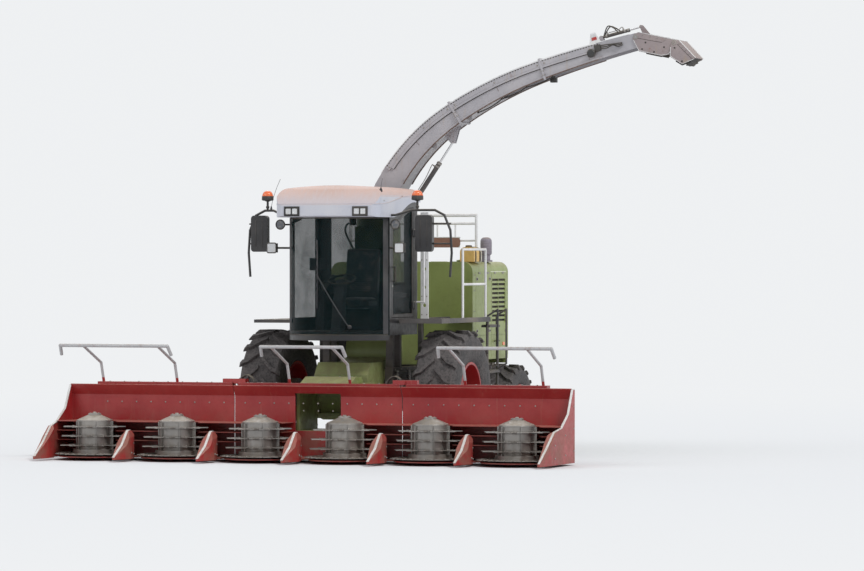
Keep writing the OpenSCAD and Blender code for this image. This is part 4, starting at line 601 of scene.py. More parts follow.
class Form:
    made = []

    def __init__(self, name, look, body="machine", sharp=35):
        self.name = name
        self.look = look
        self.body = body
        self.sharp = sharp
        self.bm = bmesh.new()
        self.made.append(self)

    def ring(self, points):
        return [self.bm.verts.new(p) for p in points]

    def skin(self, rings, closed=True):
        """Walls from ring to ring, and the two ends."""
        for low, high in zip(rings, rings[1:]):
            for k in range(len(low)):
                j = (k + 1) % len(low)
                self.bm.faces.new((low[k], low[j], high[j], high[k]))
        if closed:
            self.bm.faces.new(rings[0][::-1])
            self.bm.faces.new(rings[-1])
        return self

    def fan(self, ring, top):
        for k in range(len(ring)):
            self.bm.faces.new((ring[k], ring[(k + 1) % len(ring)], top))
        return self

    def lathe(self, profile, place, sides=20):
        """Solid of revolution about local Z from (radius, height) points."""
        rings = []
        for radius, height in profile:
            count = sides if radius > 0 else 1
            rings.append(self.ring([place @ polar(radius, 2 * pi * i / sides, height) for i in range(count)]))
        for low, high in zip(rings, rings[1:]):
            for i in range(sides):
                j = (i + 1) % sides
                corners = [low[i % len(low)], low[j % len(low)], high[j % len(high)], high[i % len(high)]]
                unique = list(dict.fromkeys(corners))
                if len(unique) > 2:
                    self.bm.faces.new(unique)
        return self

    def band(self, inner, outer, z, height, slope, place, sides):
        """Raised ring with sloping edges."""
        top = z + height
        profile = [(inner, z), (outer, z + slope), (outer, top - slope), (inner, top)]
        return self.lathe(profile, place, sides)

    def prism(self, outline, low, high, place):
        """Closed outline of (x, y) points, extruded along local Z."""
        bottom = self.ring([place @ Vector((x, y, low)) for x, y in outline])
        top = self.ring([place @ Vector((x, y, high)) for x, y in outline])
        self.bm.faces.new(bottom[::-1])
        self.bm.faces.new(top)
        return self.skin([bottom, top], closed=False)

    def plate(self, middle, normal, width, height, radius, low, high):
        """Flat plate with round corners, low to high over a point."""
        return self.prism(rounded(width, height, radius), low, high, facing(middle, normal))

    def box(self, low, high, bevel=0.003, place=None):
        """Box with softened edges between two corners."""
        own = bmesh.new()
        bmesh.ops.create_cube(own, size=1)
        low = Vector(low)
        high = Vector(high)
        for v in own.verts:
            v.co = scaled(v.co, high - low) + (high + low) / 2
        bmesh.ops.bevel(own, geom=own.edges[:], offset=bevel, segments=2, affect="EDGES", profile=0.6)
        own.transform(place or Matrix())
        mapped = {v: self.bm.verts.new(v.co) for v in own.verts}
        for face in own.faces:
            self.bm.faces.new([mapped[v] for v in face.verts])
        own.free()
        return self

    def block(self, x, y, z, half_x, half_y, half_z, bevel=0.003):
        """Softened box round a point of the machine's axes."""
        low = at(x - half_x, y - half_y, z - half_z)
        return self.box(low, at(x + half_x, y + half_y, z + half_z), bevel)

    def tube(self, points, radius, sides=8, smooth=True, steps=6):
        """Round tube along a path, closed at both ends."""
        path = smooth_path(points, steps) if smooth else [Vector(p) for p in points]
        angles = [2 * pi * k / sides for k in range(sides)]
        rings = []
        for point, side, up in path_frames(path):
            rings.append(self.ring([point + side * radius * cos(a) + up * radius * sin(a) for a in angles]))
        return self.skin(rings)

    def wire(self, points, radius, sides=6):
        """Tube with straight stretches between its points."""
        return self.tube(points, radius, sides, smooth=False)

    def bead(self, outline, height, place, radius, sides):
        """Wire that goes round an outline."""
        points = [place @ Vector((x, y, height)) for x, y in outline]
        return self.wire(points + points[:1], radius, sides)

    def ribbon(self, points, across, width, thickness):
        """Flat bar along a path; across is the direction of its width."""
        across = Vector(across).normalized()
        points = [Vector(p) for p in points]
        rings = []
        for i, point in enumerate(points):
            along = direction(points, i)
            up = along.cross(across).normalized()
            wide = up.cross(along).normalized()
            corners = []
            for u, v in ((-1, -1), (1, -1), (1, 1), (-1, 1)):
                corners.append(point + wide * u * width / 2 + up * v * thickness / 2)
            rings.append(self.ring(corners))
        return self.skin(rings)

    def bolt(self, point, normal, size, spin=0.0):
        """Hexagon head on a washer; size is the washer's radius."""
        place = facing(point, normal, spin)
        self.lathe([(size, 0), (size, size * 0.16), (0, size * 0.16)], place, 14)
        head = [(0.78, 0.12), (0.78, 0.6), (0.64, 0.74), (0, 0.74)]
        return self.lathe([(size * r, size * z) for r, z in head], place, 6)

    def bolt_rows(self, points, normal, size, spin=None):
        """Bolts at points of the machine's axes; spin is the coordinate that their heads turn with."""
        for point in points:
            self.bolt(at(*point), normal, size, 0.0 if spin is None else point[spin])
        return self

    def bolts(self, centre, normal, radius, count, size, phase=0.0):
        """Ring of bolts."""
        turn = facing(centre, normal)
        for i in range(count):
            a = 2 * pi * (i + phase) / count
            self.bolt(turn @ polar(radius, a), normal, size, a)
        return self

    def dome(self, centre, radius, height, flutes=24, depth=0.0018, steps=12):
        """Fluted lamp dome over a round foot."""
        rings = []
        for i in range(steps):
            a = pi / 2 * i / steps
            ring = []
            for k in range(flutes * 2):
                swell = 1 + (depth / radius if k % 2 else -depth / radius) * cos(a)
                r = radius * cos(a) ** 0.8 * swell
                ring.append(centre + polar(r, pi * k / flutes, height * sin(a)))
            rings.append(self.ring(ring))
        top = self.bm.verts.new(centre + UP * height)
        self.skin(rings, closed=False)
        self.fan(rings[-1], top)
        self.bm.faces.new(rings[0][::-1])
        return self

    def finish(self):
        """One object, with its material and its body."""
        mesh = bpy.data.meshes.new(self.name)
        bmesh.ops.recalc_face_normals(self.bm, faces=self.bm.faces)
        self.bm.to_mesh(mesh)
        self.bm.free()
        for face in mesh.polygons:
            face.use_smooth = True
        mesh.set_sharp_from_angle(angle=radians(self.sharp))
        mesh.materials.append(MATERIALS[self.look])
        piece = add_object(self.name, mesh)
        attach(piece, self.body)


# Wheels: the nuts' circle, number and size, then the hub's bolts, its cover's bolts, cap and valve
WHEELS = {
    "front": (0.205, 10, 0.024, (0.150, 0.147), (0.190, 0.095), 0.212, 0.352),
    "rear": (0.150, 8, 0.02, (0.120, 0.104), (0.160, 0.067), 0.182, 0.238),
}
DISC_FACE = 0.010


def wheel_details(side, word):
    out = ACROSS * side
    for which, (nut_r, nuts, nut, (hub_x, hub_r), (cover_x, cover_r), cap_x, valve_r) in WHEELS.items():
        body = f"{which}_wheel_{word}"
        lo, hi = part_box(f"{which}_rim_{word}")
        centre = (lo + hi) / 2
        form = Form(f"wheel_nuts_{which:_<5}_{word}", "bolts", body)
        form.bolts(centre + out * DISC_FACE, out, nut_r, nuts, nut)
        form.bolts(centre + out * hub_x, out, hub_r, 12, 0.013)
        form.bolts(centre + out * cover_x, out, cover_r, 8, 0.010, 0.5)
        cap = [(0.034, 0), (0.034, 0.008), (0.026, 0.016), (0, 0.018)]
        form = Form(f"hub_cap_{which:_<5}_{word}", "steel", body)
        form.lathe(cap, facing(centre + out * cap_x, out))
        stem = centre + Vector((0, 0.06, valve_r)) + out * 0.05
        form.tube([stem, stem + out * 0.03, stem + out * 0.05 + UP * -0.012], 0.005)
        form.lathe([(0.012, 0), (0.012, 0.012), (0.006, 0.014), (0, 0.014)], facing(stem, out), 12)


# Header
ROTORS = range(1, 7)
KNIFE_TOP = 0.093
KNIVES = 30
KNIFE_PHASE = 0.31
# One knife: how far in from the tip circle, and share of its half width
KNIFE = [(0.105, -0.8), (0.036, -1), (0.012, 0.35), (0.040, 1), (0.105, 0.8)]
RING_TOPS = [0.212, 0.342, 0.472]
RING_BOLT_R = 0.305
DRUM_R = 0.25
DRUM_TOP = 0.65
# Stretches of the drum that show between the rings
DRUM_SHOWS = [(0.152, 0.199), (0.214, 0.329), (0.344, 0.459), (0.474, 0.556)]


def rotor_details(i):
    body = f"rotor_{i}"
    lo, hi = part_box(body)
    centre = Vector(((lo.x + hi.x) / 2, (lo.y + hi.y) / 2, 0))
    tip_r = (hi.x - lo.x) / 2
    half = pi / KNIVES * 0.82
    outline = [tuple(polar(tip_r - inset, half * share).xy) for inset, share in KNIFE]
    form = Form(f"knife_segments_{i}", "steel", body)
    for k in range(KNIVES):
        turn = Matrix.Rotation(2 * pi * (k + KNIFE_PHASE) / KNIVES, 4, "Z")
        form.prism(outline, 0.0, 0.004, Matrix.Translation(centre + UP * KNIFE_TOP) @ turn)
    form = Form(f"rotor_bolts_{i}", "bolts", body)
    form.bolts(centre + UP * (KNIFE_TOP + 0.004), UP, tip_r - 0.08, KNIVES, 0.0085, KNIFE_PHASE)
    for z in RING_TOPS:
        form.bolts(centre + UP * z, UP, RING_BOLT_R, 12, 0.012, 0.5)
    form.bolts(centre + UP * DRUM_TOP, UP, 0.066, 6, 0.011)
    cap = [(0.03, 0), (0.03, 0.012), (0.018, 0.02), (0, 0.02)]
    form.lathe(cap, Matrix.Translation(centre + UP * DRUM_TOP))
    # wear bands on the drum between its rings
    form = Form(f"drum_bands_{i}", "steel", body)
    for low, high in DRUM_SHOWS:
        for z in (low + 0.006, high - 0.018):
            form.band(DRUM_R - 0.001, DRUM_R + 0.004, z, 0.012, 0.002, Matrix.Translation(centre), 64)


DIVIDER_RIDGE = [
    (-3.292, 0.070), (-3.0, 0.230), (-2.808, 0.421), (-2.77, 0.433), (-2.735, 0.431), (-2.70, 0.41),
]
DIVIDERS = [
    (-2.5, "header_wing_right"), (-1.25, "header"), (0.0, "header"), (1.25, "header"),
    (2.5, "header_wing_left"),
]
END_RIDGE = [
    (3.695, -3.292, 0.072), (3.700, -3.0, 0.254), (3.715, -2.7, 0.474), (3.738, -2.45, 0.524),
    (3.738, -2.15, 0.704), (3.738, -1.962, 1.034), (3.738, -1.89, 1.034),
]
END_X = 3.75
END_BOLTS = [
    (-1.93, 0.2), (-1.93, 0.5), (-1.93, 0.8), (-2.3, 0.15), (-2.3, 0.42), (-2.75, 0.12), (-2.75, 0.3),
]


def divider_details():
    for i, (x, body) in enumerate(DIVIDERS):
        # pale strip along each divider's ridge: partly a pale edging, partly a painted highlight of the lit
        # ridge
        form = Form(f"divider_highlight_edge_{i}", "white_paint", body)
        form.ribbon([at(x, y, z) for y, z in DIVIDER_RIDGE], ACROSS, 0.034, 0.008)
        form = Form(f"divider_bolts_{i}", "bolts", body)
        for side in SIDES:
            for y, z, out in ((-2.72, 0.10, 0.068), (-2.72, 0.25, 0.062), (-2.86, 0.12, 0.094)):
                form.bolt(at(x + side * out, y, z), (side, 0, 0.2), 0.013)


def end_details(side, word):
    """Edge and bolts of the header's end sheet."""
    body = f"header_wing_{word}"
    form = Form(f"end_edge_{word}", "white_paint", body)
    form.ribbon(line(*END_RIDGE, side=side), ACROSS, 0.03, 0.008)
    form = Form(f"end_bolts_{word}", "bolts", body)
    form.bolt_rows([(side * END_X, y, z) for y, z in END_BOLTS], ACROSS * side, 0.014)


BEAM_TOP = 1.08
BEAM_BACK = -1.745
SECTIONS = [
    ("centre", "header", -1.2, 1.2),
    ("left", "header_wing_left", 1.3, 3.3),
    ("right", "header_wing_right", -3.3, -1.3),
]


def section_details():
    """Hoses and their clips along the beams, and bolts on the walls, section by section."""
    for word, body, x0, x1 in SECTIONS:
        span = x1 - x0
        form = Form(f"beam_hoses_{word}", "hose", body)
        for row, z in enumerate((0.98, 1.02)):
            path = []
            for k in range(11):
                y = BEAM_BACK + 0.016 + 0.004 * sin(k * 2.2 + row)
                path.append(at(x0 + span * k / 10, y, z + 0.006 * sin(k * 1.7)))
            form.tube(path, 0.011, steps=2)
        form = Form(f"hose_clips_{word}", "black_plastic", body)
        for k in range(5):
            form.block(x0 + span * (k + 0.5) / 5, BEAM_BACK + 0.0165, 1.0, 0.02, 0.0175, 0.045, 0.004)
        form = Form(f"wall_bolts_{word}", "bolts", body)
        count = int(span / 0.2)
        for k in range(count):
            x = x0 + span * (k + 0.5) / count
            form.bolt(at(x, -1.9, 0.80), AHEAD, 0.011, k)
            form.bolt(at(x, -1.885, 0.70), BEHIND, 0.011, k)
            form.bolt(at(x, BEAM_BACK - 0.07, BEAM_TOP), UP, 0.013, k)


def fold_hoses(side, word):
    """Hose loops over the fold hinge, held by the centre frame."""
    form = Form(f"fold_hoses_{word}", "hose", "header")
    for k in range(3):
        y = -1.83 + 0.032 * k
        loop = ((0.99, 1.082), (1.02, 1.14), (1.10, 1.185), (1.175, 1.15), (1.19, 1.085))
        form.tube([at(side * x, y, z) for x, z in loop], 0.010)
        for x in (0.99, 1.19):
            form.lathe([(0.015, 0), (0.015, 0.035), (0.011, 0.04)], stand(side * x, y, 1.078), 6)


# Spout: the same bends as the frame's duct, as degrees and length
JOINT = (0.190, 3.800)
FOOT_ANGLE = 60
BENDS = [(27, 1.350), (15, 1.500), (5, 1.500)]
DUCT_LENGTH = sum(length for _, length in BENDS)
FOOT_DEPTH = 0.370
END_DEPTH = 0.210
TURRET_Y = 0.5
DUCT_HALF = 0.176
RAIL_HALF = DUCT_HALF + 0.022
DUCT_STEPS = 24
SPOUT = "spout_tube"


def heading(s):
    """The duct's slope at a length from its foot."""
    angle = FOOT_ANGLE
    for turn, length in BENDS:
        angle -= turn * min(1.0, max(0.0, s / length))
        s -= length
        if s <= 0:
            break
    return radians(angle)


def duct_line():
    step = DUCT_LENGTH / DUCT_STEPS
    foot = radians(FOOT_ANGLE)
    points = [(JOINT[0] + 0.09 * cos(foot), JOINT[1] + 0.09 * sin(foot))]
    for i in range(DUCT_STEPS):
        a = heading((i + 0.5) * step)
        points.append((points[-1][0] + step * cos(a), points[-1][1] + step * sin(a)))
    return points


DUCT_MIDDLE = duct_line()


def slope(share):
    return heading(share * DUCT_LENGTH)


def on_duct(share, above, y):
    """Point at a share of the duct's length, above its top edge (or below its lower edge if negative)."""
    i = min(DUCT_STEPS - 1, int(share * DUCT_STEPS))
    t = share * DUCT_STEPS - i
    (x0, z0), (x1, z1) = DUCT_MIDDLE[i], DUCT_MIDDLE[i + 1]
    a = slope(share)
    depth = FOOT_DEPTH + (END_DEPTH - FOOT_DEPTH) * share
    lift = depth / 2 + above if above >= 0 else -depth / 2 + above
    return at(x0 + (x1 - x0) * t - sin(a) * lift, y, z0 + (z1 - z0) * t + cos(a) * lift)


def inside_duct(share, down, y):
    """Point at a share of the duct's length, down from its top edge by a length."""
    a = slope(share)
    return on_duct(share, 0.0, y) + Vector((sin(a), 0, -cos(a))) * down


def along_duct(share, place, upright=False):
    """Local X along the duct at a point; upright turns local Y up from it."""
    turn = Matrix.Translation(place) @ Matrix.Rotation(-slope(share), 4, "Y")
    return turn @ turned(90, "X") if upright else turn


def duct_sides(off):
    """Both sides of the spout's middle plane: -1 or 1, and y that far out from it."""
    return [(side, TURRET_Y + side * off) for side in SIDES]


def spout_details():
    form = Form("spout_top_edges", "white_paint", SPOUT)
    for _, y in duct_sides(DUCT_HALF - 0.012):
        form.ribbon([on_duct(s, 0.003, y) for s in shares(0.02, 0.96, 40)], BEHIND, 0.03, 0.008)
    # holes and bolts of the top rails; the holes are flat dark discs, a painted shade in place of openings
    form = Form("spout_bolts", "bolts", SPOUT)
    holes = Form("spout_rail_hole_shade", "rubber", SPOUT)
    for side, y in duct_sides(RAIL_HALF):
        for s in shares(0.05, 0.82, 85):
            place = facing(inside_duct(s, 0.022, y), BEHIND * side)
            holes.lathe([(0.0095, 0.0012), (0.007, 0.0016), (0, 0.0016)], place, 8)
        for s in (0.05, 0.22, 0.32, 0.347, 0.50, 0.655, 0.68, 0.84):
            form.bolt(inside_duct(s, 0.060, y), BEHIND * side, 0.013, s * 40)
    for i in (8, 16):
        for side, y in duct_sides(DUCT_HALF + 0.03):
            for down in (0.16, 0.22):
                for along in (-0.004, 0.004):
                    form.bolt(inside_duct(i / DUCT_STEPS + along, down, y), BEHIND * side, 0.010)
    # weld seams across the side plates
    form = Form("spout_seams", "rust_edge", SPOUT)
    for s in (0.17, 0.5, 0.83):
        for _, y in duct_sides(DUCT_HALF + 0.0006):
            form.wire([inside_duct(s, 0.10 + 0.012 * k, y) for k in range(9)], 0.003)
    # hoses to the flap cylinder, along the top
    form = Form("spout_hoses", "hose", SPOUT)
    for k, y in enumerate((TURRET_Y + 0.07, TURRET_Y + 0.10)):
        path = []
        for i, s in enumerate(shares(0.06, 0.80, 24)):
            path.append(on_duct(s, 0.016 + 0.003 * sin(1.9 * i + k), y))
        form.tube(path, 0.009, steps=2)
    form = Form("spout_hose_clips", "black_plastic", SPOUT)
    for s in shares(0.09, 0.76, 8):
        place = along_duct(s, on_duct(s, 0.012, TURRET_Y + 0.085))
        form.prism(rounded(0.03, 0.075, 0.008, 3), -0.014, 0.018, place)
    # round lamp on the front side, and a lamp under the middle
    lamp = facing(inside_duct(0.845, 0.128, TURRET_Y - DUCT_HALF), AHEAD)
    form = Form("spout_lamps", "black_plastic", SPOUT)
    form.lathe([(0.02, 0), (0.02, 0.03), (0.056, 0.035), (0.062, 0.07), (0.055, 0.075), (0, 0.075)], lamp, 28)
    low = on_duct(0.685, -0.001, TURRET_Y)
    form.box(low + Vector((-0.045, -0.04, -0.085)), low + Vector((0.045, 0.04, -0.012)), 0.008)
    form.box(low + Vector((-0.012, -0.015, -0.02)), low + Vector((0.012, 0.015, 0.008)), 0.002)
    form = Form("spout_lamp_lens", "screen_face", SPOUT)
    form.lathe([(0.05, 0.0755), (0.048, 0.08), (0.03, 0.085), (0, 0.087)], lamp, 28)
    # lugs under the duct
    form = Form("spout_lugs", "grey_paint", SPOUT)
    for s in (0.205, 0.365):
        place = along_duct(s, on_duct(s, -0.0005, TURRET_Y - 0.12), upright=True)
        form.prism([(-0.05, 0.004), (-0.02, -0.055), (0.02, -0.055), (0.05, 0.004)], -0.006, 0.006, place)


# Both flaps lie along their own line: u runs along it and v up from it
FLAP_TOP = 0.062
SHEET_T = 0.008
FLAP_1_SLOPE = radians(-12)
FLAP_2_SLOPE = radians(-46)


def turned_point(x, z, angle, u, v):
    return x + u * cos(angle) - v * sin(angle), z + u * sin(angle) + v * cos(angle)


# First flap's hinge; the second flap hangs on the first one
HINGE = (DUCT_MIDDLE[-1][0] - 0.010, DUCT_MIDDLE[-1][1] + END_DEPTH / 2 - 0.055)
FLAPS = {
    "spout_flap_1": dict(
        hinge=HINGE, angle=FLAP_1_SLOPE, length=0.59, half=DUCT_HALF + 0.006 + SHEET_T, bolts=4,
        low=[(-0.02, -0.06), (0.09, -0.19), (0.43, -0.19), (0.53, -0.15), (0.59, 0.0)],
        strip=[(0.20, -0.19), (0.43, -0.19)],
        joint=[(0.03, -0.012), (0.21, -0.008), (0.40, -0.002)],
        holes=[(0.16, -0.05), (0.44, -0.062), (0.13, -0.15), (0.31, -0.155)],
    ),
    "spout_flap_2": dict(
        hinge=turned_point(*HINGE, FLAP_1_SLOPE, 0.575, 0.030), angle=FLAP_2_SLOPE, length=0.37,
        half=DUCT_HALF + 0.020 + SHEET_T, bolts=5,
        low=[(0.01, -0.09), (0.10, -0.18), (0.30, -0.13), (0.37, 0.04)],
        strip=[(0.20, -0.155), (0.30, -0.13), (0.35, -0.02)],
        joint=[(0.05, 0.018), (0.34, 0.026)],
        holes=[(0.06, -0.045), (0.27, -0.10)],
    ),
}


def on_flap(name, u, v, y):
    x, z = turned_point(*FLAPS[name]["hinge"], FLAPS[name]["angle"], u, v)
    return at(x, y, z)


def flap_details():
    for name, flap in FLAPS.items():
        edges = Form(name + "_edges", "white_paint", name)
        fittings = Form(name + "_bolts", "bolts", name)
        strips = Form(name + "_strip", "rubber", name)
        liner = Form(name + "_liner", "steel", name)
        # dark marks on the cheeks: the line under the fold and the holes, partly painted shade
        marks = Form(name + "_lines", "rubber", name)
        length = flap["length"]
        half = flap["half"]
        for side in SIDES:
            # pale folded edge along the top and a bead along the lower edge
            y = TURRET_Y + side * (half - 0.016)
            path = [on_flap(name, u, FLAP_TOP + SHEET_T + 0.003, y) for u in (0.03, length * 0.5, length)]
            edges.ribbon(path, BEHIND, 0.036, 0.007)
            y = TURRET_Y + side * (half + 0.004)
            edges.wire([on_flap(name, u, v + 0.010, y) for u, v in flap["low"]], 0.005)
            # bolts on the cheeks and a hinge washer
            y = TURRET_Y + side * half
            for k in range(flap["bolts"]):
                fittings.bolt(on_flap(name, length * (0.16 + 0.19 * k), 0.042, y), BEHIND * side, 0.009, k)
            washer = [(0.034, 0), (0.034, 0.004), (0.022, 0.006), (0.015, 0.006)]
            fittings.lathe(washer, facing(on_flap(name, 0, 0, y), BEHIND * side), 24)
            # dark line under the upper fold, partly the joint and partly a painted shadow, and holes drawn as
            # flat dark discs of painted shade
            marks.wire([on_flap(name, u, v, y) for u, v in flap["joint"]], 0.003)
            for u, v in flap["holes"]:
                place = facing(on_flap(name, u, v, y), BEHIND * side)
                marks.lathe([(0.013, 0), (0.013, 0.002), (0, 0.002)], place, 14)
            # rubber wear strip inside the channel's lower edge
            y = TURRET_Y + side * (half - 0.013)
            path = [on_flap(name, u, v + 0.004, y) for u, v in flap["strip"]]
            strips.ribbon(path, BEHIND * side, 0.010, 0.04)
        # liner plate, worn bright, under the top plate
        rows = []
        for s in shares(0.08, 0.9, 8):
            row = [on_flap(name, length * s, FLAP_TOP - 0.004, y) for _, y in duct_sides(half - 0.02)]
            rows.append(liner.ring(row))
        for low, high in zip(rows, rows[1:]):
            liner.bm.faces.new((low[0], low[1], high[1], high[0]))
    # dark rubber lip across the second flap's end
    path = [on_flap("spout_flap_2", 0.352, 0.050 - 0.15 * t, TURRET_Y) for t in (0, 0.33, 0.66, 1.0)]
    form = Form("spout_lip", "rubber", "spout_flap_2")
    form.ribbon(path, BEHIND, 2 * FLAPS["spout_flap_2"]["half"] - 0.026, 0.007)


REFLECTOR = [(-0.04, 0), (0.04, 0), (0.036, 0.042), (-0.036, 0.042)]
# Hoses on the near side: share of the duct, depth and its step, place in y and its step
SIDE_HOSE = [
    (0.872, 0.05, 0.02, 0.012, 0), (0.90, 0.062, 0.025, 0, -0.01), (0.92, 0.074, 0.008, 0, 0),
    (0.937, 0.084, 0.022, -0.008, 0), (0.952, 0.088, 0.016, 0.016, 0),
]


def duct_end_details():
    """Bracket with its reflector, hoses over the flap's joint and the rusty lower flange."""
    turn = along_duct(0.86, on_duct(0.86, 0.002, TURRET_Y - 0.13), upright=True)
    form = Form("reflector_bracket", "white_paint", SPOUT)
    form.prism([(-0.09, 0.0), (0.09, 0.0), (0.035, 0.155), (-0.035, 0.155)], -0.004, 0.004, turn)
    form.prism([(-0.10, 0.0), (0.10, 0.0), (0.10, 0.008), (-0.10, 0.008)], -0.02, 0.03, turn)
    for k, look in enumerate(("red_lens", "clear_lens")):
        outline = [(x, 0.050 + 0.046 * k + z) for x, z in REFLECTOR]
        form = Form(f"reflector_{k}", look, SPOUT)
        form.prism(outline, 0.004, 0.008, turn).prism(outline, -0.008, -0.004, turn)
    # brown flange along the duct's lower edge
    form = Form("spout_lower_flange", "rust_edge", SPOUT)
    for _, y in duct_sides(DUCT_HALF + 0.006):
        form.ribbon([on_duct(s, -0.004, y) for s in shares(0.03, 0.83, 36)], BEHIND, 0.030, 0.009)
    # folded skirt under each rail, a dark line below it that is a painted shadow of the skirt, and a white
    # edge above
    skirt = Form("rail_skirts", "spout_paint", SPOUT)
    seam_and_painted_shadow = Form("rail_shadow_lines", "rubber", SPOUT)
    edge = Form("rail_edges", "white_paint", SPOUT)
    rail = shares(0.052, 0.815, 36)
    for _, y in duct_sides(DUCT_HALF + 0.010):
        skirt.ribbon([inside_duct(s, 0.106 - 0.012 * s, y) for s in rail], UP, 0.040, 0.020)
    # dark wire under each skirt: a painted shadow line
    for _, y in duct_sides(DUCT_HALF + 0.0016):
        seam_and_painted_shadow.wire([inside_duct(s, 0.131 - 0.012 * s, y) for s in rail], 0.0045)
    for _, y in duct_sides(RAIL_HALF + 0.0012):
        edge.ribbon([inside_duct(s, 0.006, y) for s in rail], UP, 0.012, 0.004)
    # hoses along the near side to a valve block, and one that hangs under the duct between its clips
    form = Form("spout_side_hoses", "hose", SPOUT)
    y = TURRET_Y - DUCT_HALF - 0.034
    for k in range(3):
        path = [inside_duct(s, down + more * k, y + dy + step * k) for s, down, more, dy, step in SIDE_HOSE]
        form.tube(path, 0.0075)
    path = []
    for k in range(25):
        path.append(on_duct(0.40 + 0.012 * k, -0.012 - 0.022 * abs(sin(k * pi / 8)), TURRET_Y - 0.10))
    form.tube(path, 0.009, steps=2)
    place = along_duct(0.87, inside_duct(0.868, 0.075, TURRET_Y - DUCT_HALF - 0.020))
    form = Form("spout_valve", "black_plastic", SPOUT)
    form.box((-0.045, -0.024, -0.045), (0.045, 0.022, 0.045), 0.006, place)
    for k in range(4):
        clip = on_duct(0.40 + 0.096 * k, -0.006, TURRET_Y - 0.10)
        form.box(clip + Vector((-0.012, -0.016, -0.016)), clip + Vector((0.012, 0.016, 0.010)))
    # hoses that rise over the flap cylinder's foot
    form = Form("flap_hoses", "hose", SPOUT)
    x, z = HINGE
    for k, y in enumerate((TURRET_Y - 0.055, TURRET_Y + 0.058)):
        base = on_duct(0.855, 0.016, TURRET_Y + 0.07 + 0.03 * k)
        end = at(x - 0.30, y, z + 0.075 + 0.02 * k)
        rise = base + Vector((0.07, -0.01, 0.05 + 0.02 * k))
        form.tube([base, rise, at(x - 0.46, y, z + 0.155), at(x - 0.37, y, z + 0.14), end], 0.009)
        form.lathe([(0.013, 0), (0.013, 0.03), (0.009, 0.034)], facing(end, (0.7, 0, -0.7)), 6)


CROWN_TEETH = 90
# Swivel motor's hose, from the motor's foot; the last two numbers are the step in y of the second one
MOTOR_HOSE = [
    (-0.04, 3.33, 0.03), (-0.10, 3.31, 0.03), (-0.12, 3.2, 0.03), (-0.02, 3.0, 0.03), (0.10, 2.85, 0.02),
    (0.16, 2.80, 0.0),
]


def turret_details():
    Form("turret_bolts", "bolts", "spout_turret").bolts(at(0, TURRET_Y, 3.57), UP, 0.268, 20, 0.012)
    # toothed crown that turns the spout, on the turret's foot
    outline = []
    for k in range(CROWN_TEETH):
        for part, r in ((0.0, 0.290), (0.25, 0.304), (0.5, 0.304), (0.75, 0.290)):
            outline.append(tuple(polar(r, 2 * pi * (k + part) / CROWN_TEETH).xy))
    Form("turret_crown", "steel", "spout_turret").prism(outline, 3.500, 3.535, stand(0, TURRET_Y))
    # hub caps of the lift joint
    form = Form("joint_caps", "steel", SPOUT)
    for side, y in duct_sides(DUCT_HALF + 0.010):
        place = facing(at(JOINT[0], y, JOINT[1]), BEHIND * side)
        form.lathe([(0.052, -0.012), (0.052, 0.006), (0.036, 0.012), (0, 0.014)], place, 28)
    # swivel motor beside the crown, on the chute
    motor = at(-0.42, TURRET_Y + 0.10, 0)
    profile = [
        (0.0, 3.30), (0.045, 3.30), (0.05, 3.31), (0.05, 3.40), (0.075, 3.405), (0.075, 3.43), (0.03, 3.432),
        (0.03, 3.44), (0, 3.44),
    ]
    form = Form("swivel_motor", "cast_iron").lathe(profile, Matrix.Translation(motor), 24)
    form.box(at(-0.47, TURRET_Y + 0.05, 3.40), at(-0.31, TURRET_Y + 0.15, 3.412))
    for k in range(2):
        form.tube([motor + Vector((x, step * k, z)) for x, z, step in MOTOR_HOSE], 0.010)


# Cylinders in the spout's plane: foot, eye, barrel's radius and length
CYLINDERS = {
    "spout_barrel": ((0.51, 3.555), (1.16, 4.5), 0.034, 0.78),
    "flap_barrel": ((HINGE[0] - 0.56, HINGE[1] + 0.005), (HINGE[0] + 0.03, HINGE[1] + 0.15), 0.024, 0.43),
}


def cylinder_fittings():
    """Gland rings, ports and short hoses on the cylinders in the spout's plane, and the lift pair."""
    for name, (foot, eye, radius, length) in CYLINDERS.items():
        u = (Vector((eye[0], 0, eye[1])) - Vector((foot[0], 0, foot[1]))).normalized()
        base = at(foot[0], TURRET_Y, foot[1])
        form = Form(name + "_fittings", "steel", name)
        for share, wide in ((length - 0.035, 1.14), (0.065, 1.10), (length - 0.085, 1.06)):
            form.band(radius * 0.98, radius * wide, 0, 0.029, 0.003, facing(base + u * share, u), 28)
        side = Vector((-u.z, 0, u.x))
        port = [(0.014, 0), (0.014, 0.016), (0.010, 0.02), (0.010, 0.034), (0, 0.036)]
        for share in (0.10, length - 0.09):
            form.lathe(port, facing(base + u * share + side * radius * 0.9, side), 6)
        pipe = [
            (length - 0.09, 0.03), (length - 0.11, 0.046), (length * 0.6, 0.020), (length * 0.3, 0.018),
            (0.14, 0.022),
        ]
        form.tube([base + u * along + side * (radius + off) for along, off in pipe], 0.006)
    form = Form("lift_fittings", "steel", "lift_barrels")
    u = (Vector((0, -1.5, 0.43)) - Vector((0, -0.25, 0.70))).normalized()
    for side in SIDES:
        base = at(side * 0.5, -0.25, 0.70)
        for share in (0.12, 0.52):
            form.band(0.050, 0.055, 0, 0.027, 0.003, facing(base + u * share, u), 28)
        port = [(0.016, 0), (0.016, 0.018), (0.011, 0.022), (0.011, 0.04), (0, 0.042)]
        form.lathe(port, facing(base + u * 0.16 + Vector((0, 0, 0.045)), UP), 6)
        pipe = ((0.16, 0, 0.075), (0.15, 0.03, 0.12), (0.08, 0.06, 0.15), (0, 0.06, 0.13))
        form.tube([base + u * along + Vector((0, dy, dz)) for along, dy, dz in pipe], 0.009)


# Cab
ARM_Y = -0.95
ARM_Z = 3.5
BEACON_X = 1.13
MIRROR_X = 1.24
MIRROR_Z = 3.1725
MIRROR_BRACKET_X = 1.335
WORK_LAMP = (0.96, 2.97)
ROUND_LAMP = (0.865, 3.3)


